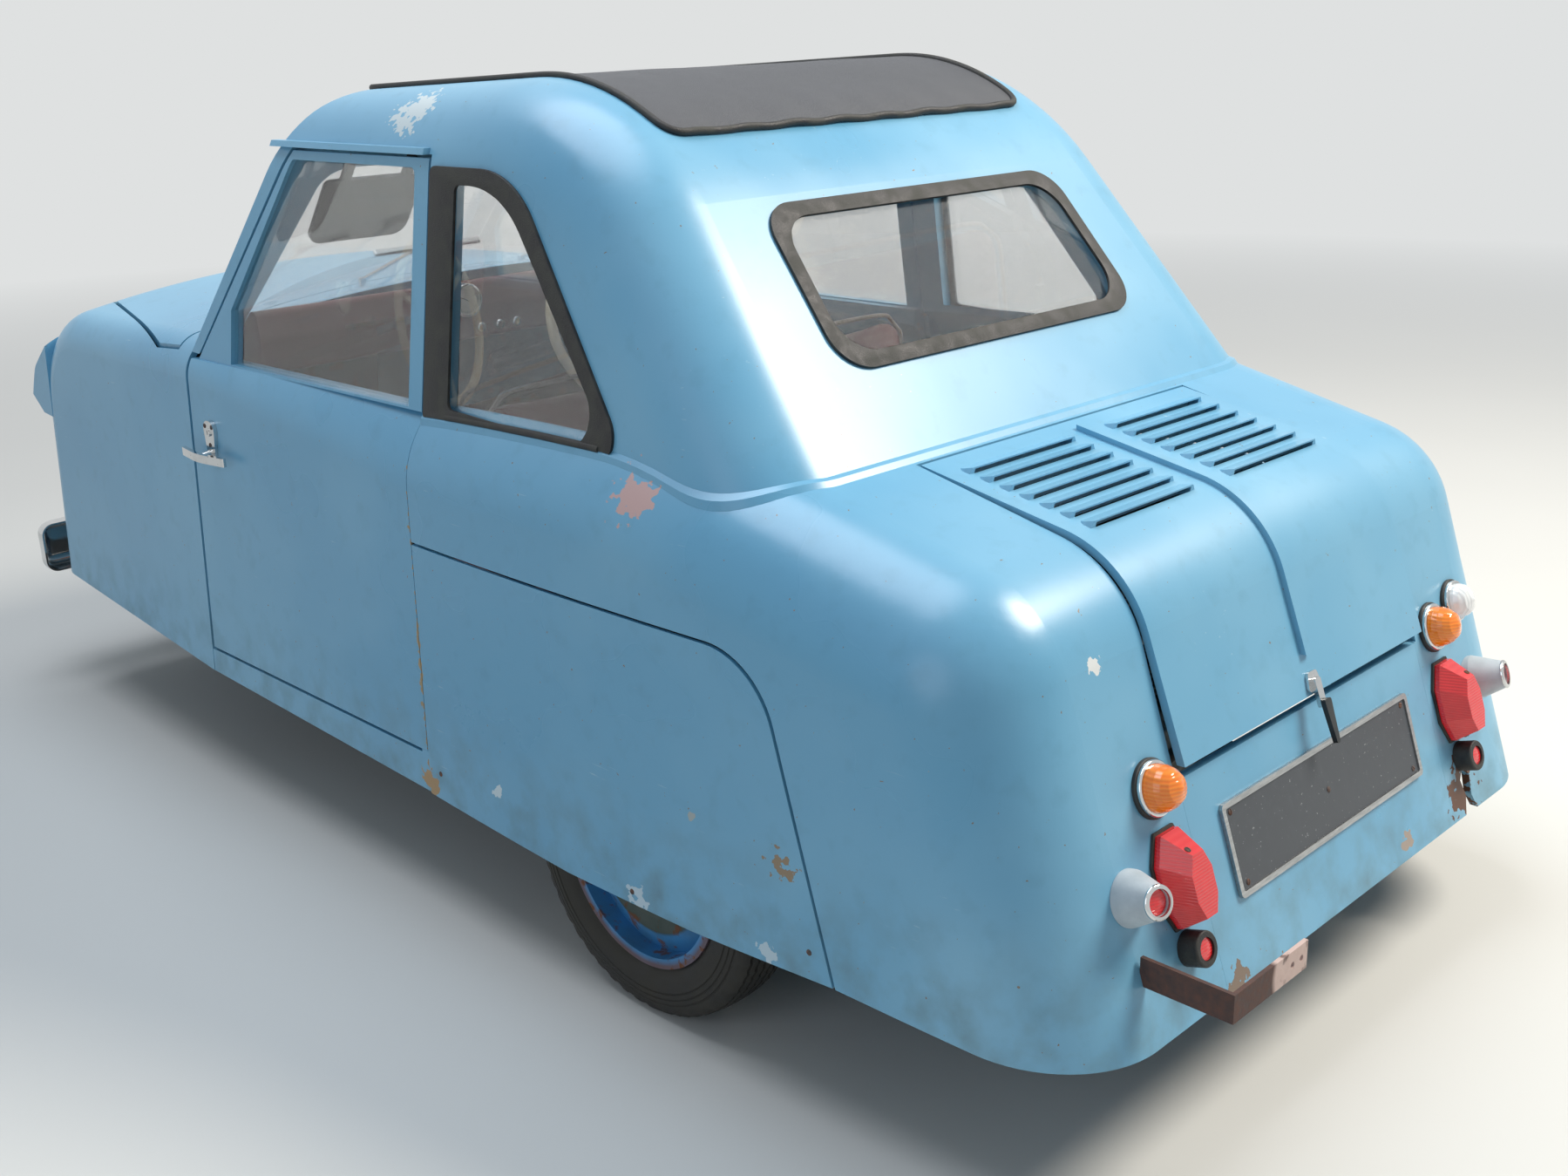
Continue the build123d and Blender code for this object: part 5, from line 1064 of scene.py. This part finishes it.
class MICROCAR_OT_studio(bpy.types.Operator):
    """Sets the pale floor, the soft lights and the camera at the photograph's view"""
    bl_idname = "microcar.studio"
    bl_label = "Studio and camera"

    def execute(self, context):
        bm = bmesh.new()
        bmesh.ops.create_grid(bm, x_segments=2, y_segments=2, size=40.0)
        mesh = bpy.data.meshes.new("studio_floor")
        bm.to_mesh(mesh)
        bm.free()
        floor = bpy.data.objects.new("studio_floor", mesh)
        material, shader, coords = new_finish("studio_floor", Roughness=0.9)
        tone = layer(finishes().floor, "#CFD0CC", patches(coords, 4000, 0.3, 0.7))
        coat(shader, tone)
        away = add(coords, "VectorMath", {0: coords}, operation="LENGTH").outputs["Value"]
        fade = add(coords, "MapRange", {"Value": away, "From Min": FADE_START, "From Max": FADE_END})
        glow = add(coords, "Emission", {"Color": BACKDROP, "Strength": 1.0})
        both = add(coords, "MixShader", {0: weigh((fade, seen_ray(coords))), 1: shader, 2: glow})
        tree = material.node_tree
        tree.links.new(both.outputs[0], tree.nodes["Material Output"].inputs["Surface"])
        mesh.materials.append(material)
        context.scene.collection.objects.link(floor)
        world = bpy.data.worlds.new("studio_sky")
        world.use_nodes = True
        tree = world.node_tree
        sky = tree.nodes["Background"]
        sky.inputs["Color"].default_value = linear(SKY)
        sky.inputs["Strength"].default_value = SKY_STRENGTH
        shown = add(tree, "Background", {"Color": BACKDROP, "Strength": 1.0})
        both = add(tree, "MixShader", {0: seen_ray(tree), 1: sky, 2: shown})
        tree.links.new(both.outputs[0], tree.nodes["World Output"].inputs["Surface"])
        context.scene.world = world
        for light in LIGHTS:
            soft_light(*light)
        data = bpy.data.cameras.new("photo_camera")
        data.sensor_width = 36.0
        data.lens = CAMERA_LENS
        data.clip_end = 200.0
        camera = bpy.data.objects.new("photo_camera", data)
        azimuth, elevation, roll = map(math.radians, (CAMERA_AZIMUTH, CAMERA_ELEVATION, CAMERA_ROLL))
        back = Vector((math.sin(azimuth) * math.cos(elevation), -math.cos(azimuth) * math.cos(elevation),
                       math.sin(elevation)))
        right = Vector((0, 0, 1)).cross(back).normalized()
        up = back.cross(right)
        turned = Matrix((right, up, back)).transposed() @ Matrix.Rotation(roll, 3, "Z")
        camera.matrix_world = Matrix.Translation(CAMERA_PLACE) @ turned.to_4x4()
        context.scene.collection.objects.link(camera)
        context.scene.camera = camera
        context.scene.view_settings.view_transform = "Standard"
        return {"FINISHED"}


OPERATORS = (
    MICROCAR_OT_finish_nodes,
    MICROCAR_OT_tyres,
    MICROCAR_OT_fabric_roof,
    MICROCAR_OT_seats,
    MICROCAR_OT_seals,
    MICROCAR_OT_screws,
    MICROCAR_OT_engine,
    MICROCAR_OT_door_strips,
    MICROCAR_OT_dial,
    MICROCAR_OT_studio,
)


class MICROCAR_PT_panel(bpy.types.Panel):
    """Lists the steps that dress the car"""
    bl_idname = "MICROCAR_PT_panel"
    bl_label = "Microcar"
    bl_space_type = "VIEW_3D"
    bl_region_type = "UI"
    bl_category = "Microcar"

    def draw(self, context):
        for operator in OPERATORS:
            self.layout.operator(operator.bl_idname)
        for group in (context.scene.microcar_finishes, context.scene.microcar_sizes):
            for name in group.__annotations__:
                self.layout.prop(group, name)


CLASSES = (MicrocarFinishes, MicrocarSizes, *OPERATORS, MICROCAR_PT_panel)


def register():
    for cls in CLASSES:
        bpy.utils.register_class(cls)
    bpy.types.Scene.microcar_finishes = PointerProperty(type=MicrocarFinishes)
    bpy.types.Scene.microcar_sizes = PointerProperty(type=MicrocarSizes)


def unregister():
    del bpy.types.Scene.microcar_sizes
    del bpy.types.Scene.microcar_finishes
    for cls in reversed(CLASSES):
        bpy.utils.unregister_class(cls)


def main():
    register()
    for operator in OPERATORS:
        group, name = operator.bl_idname.split(".")
        getattr(getattr(bpy.ops, group), name)()


if __name__ == "__main__":
    main()
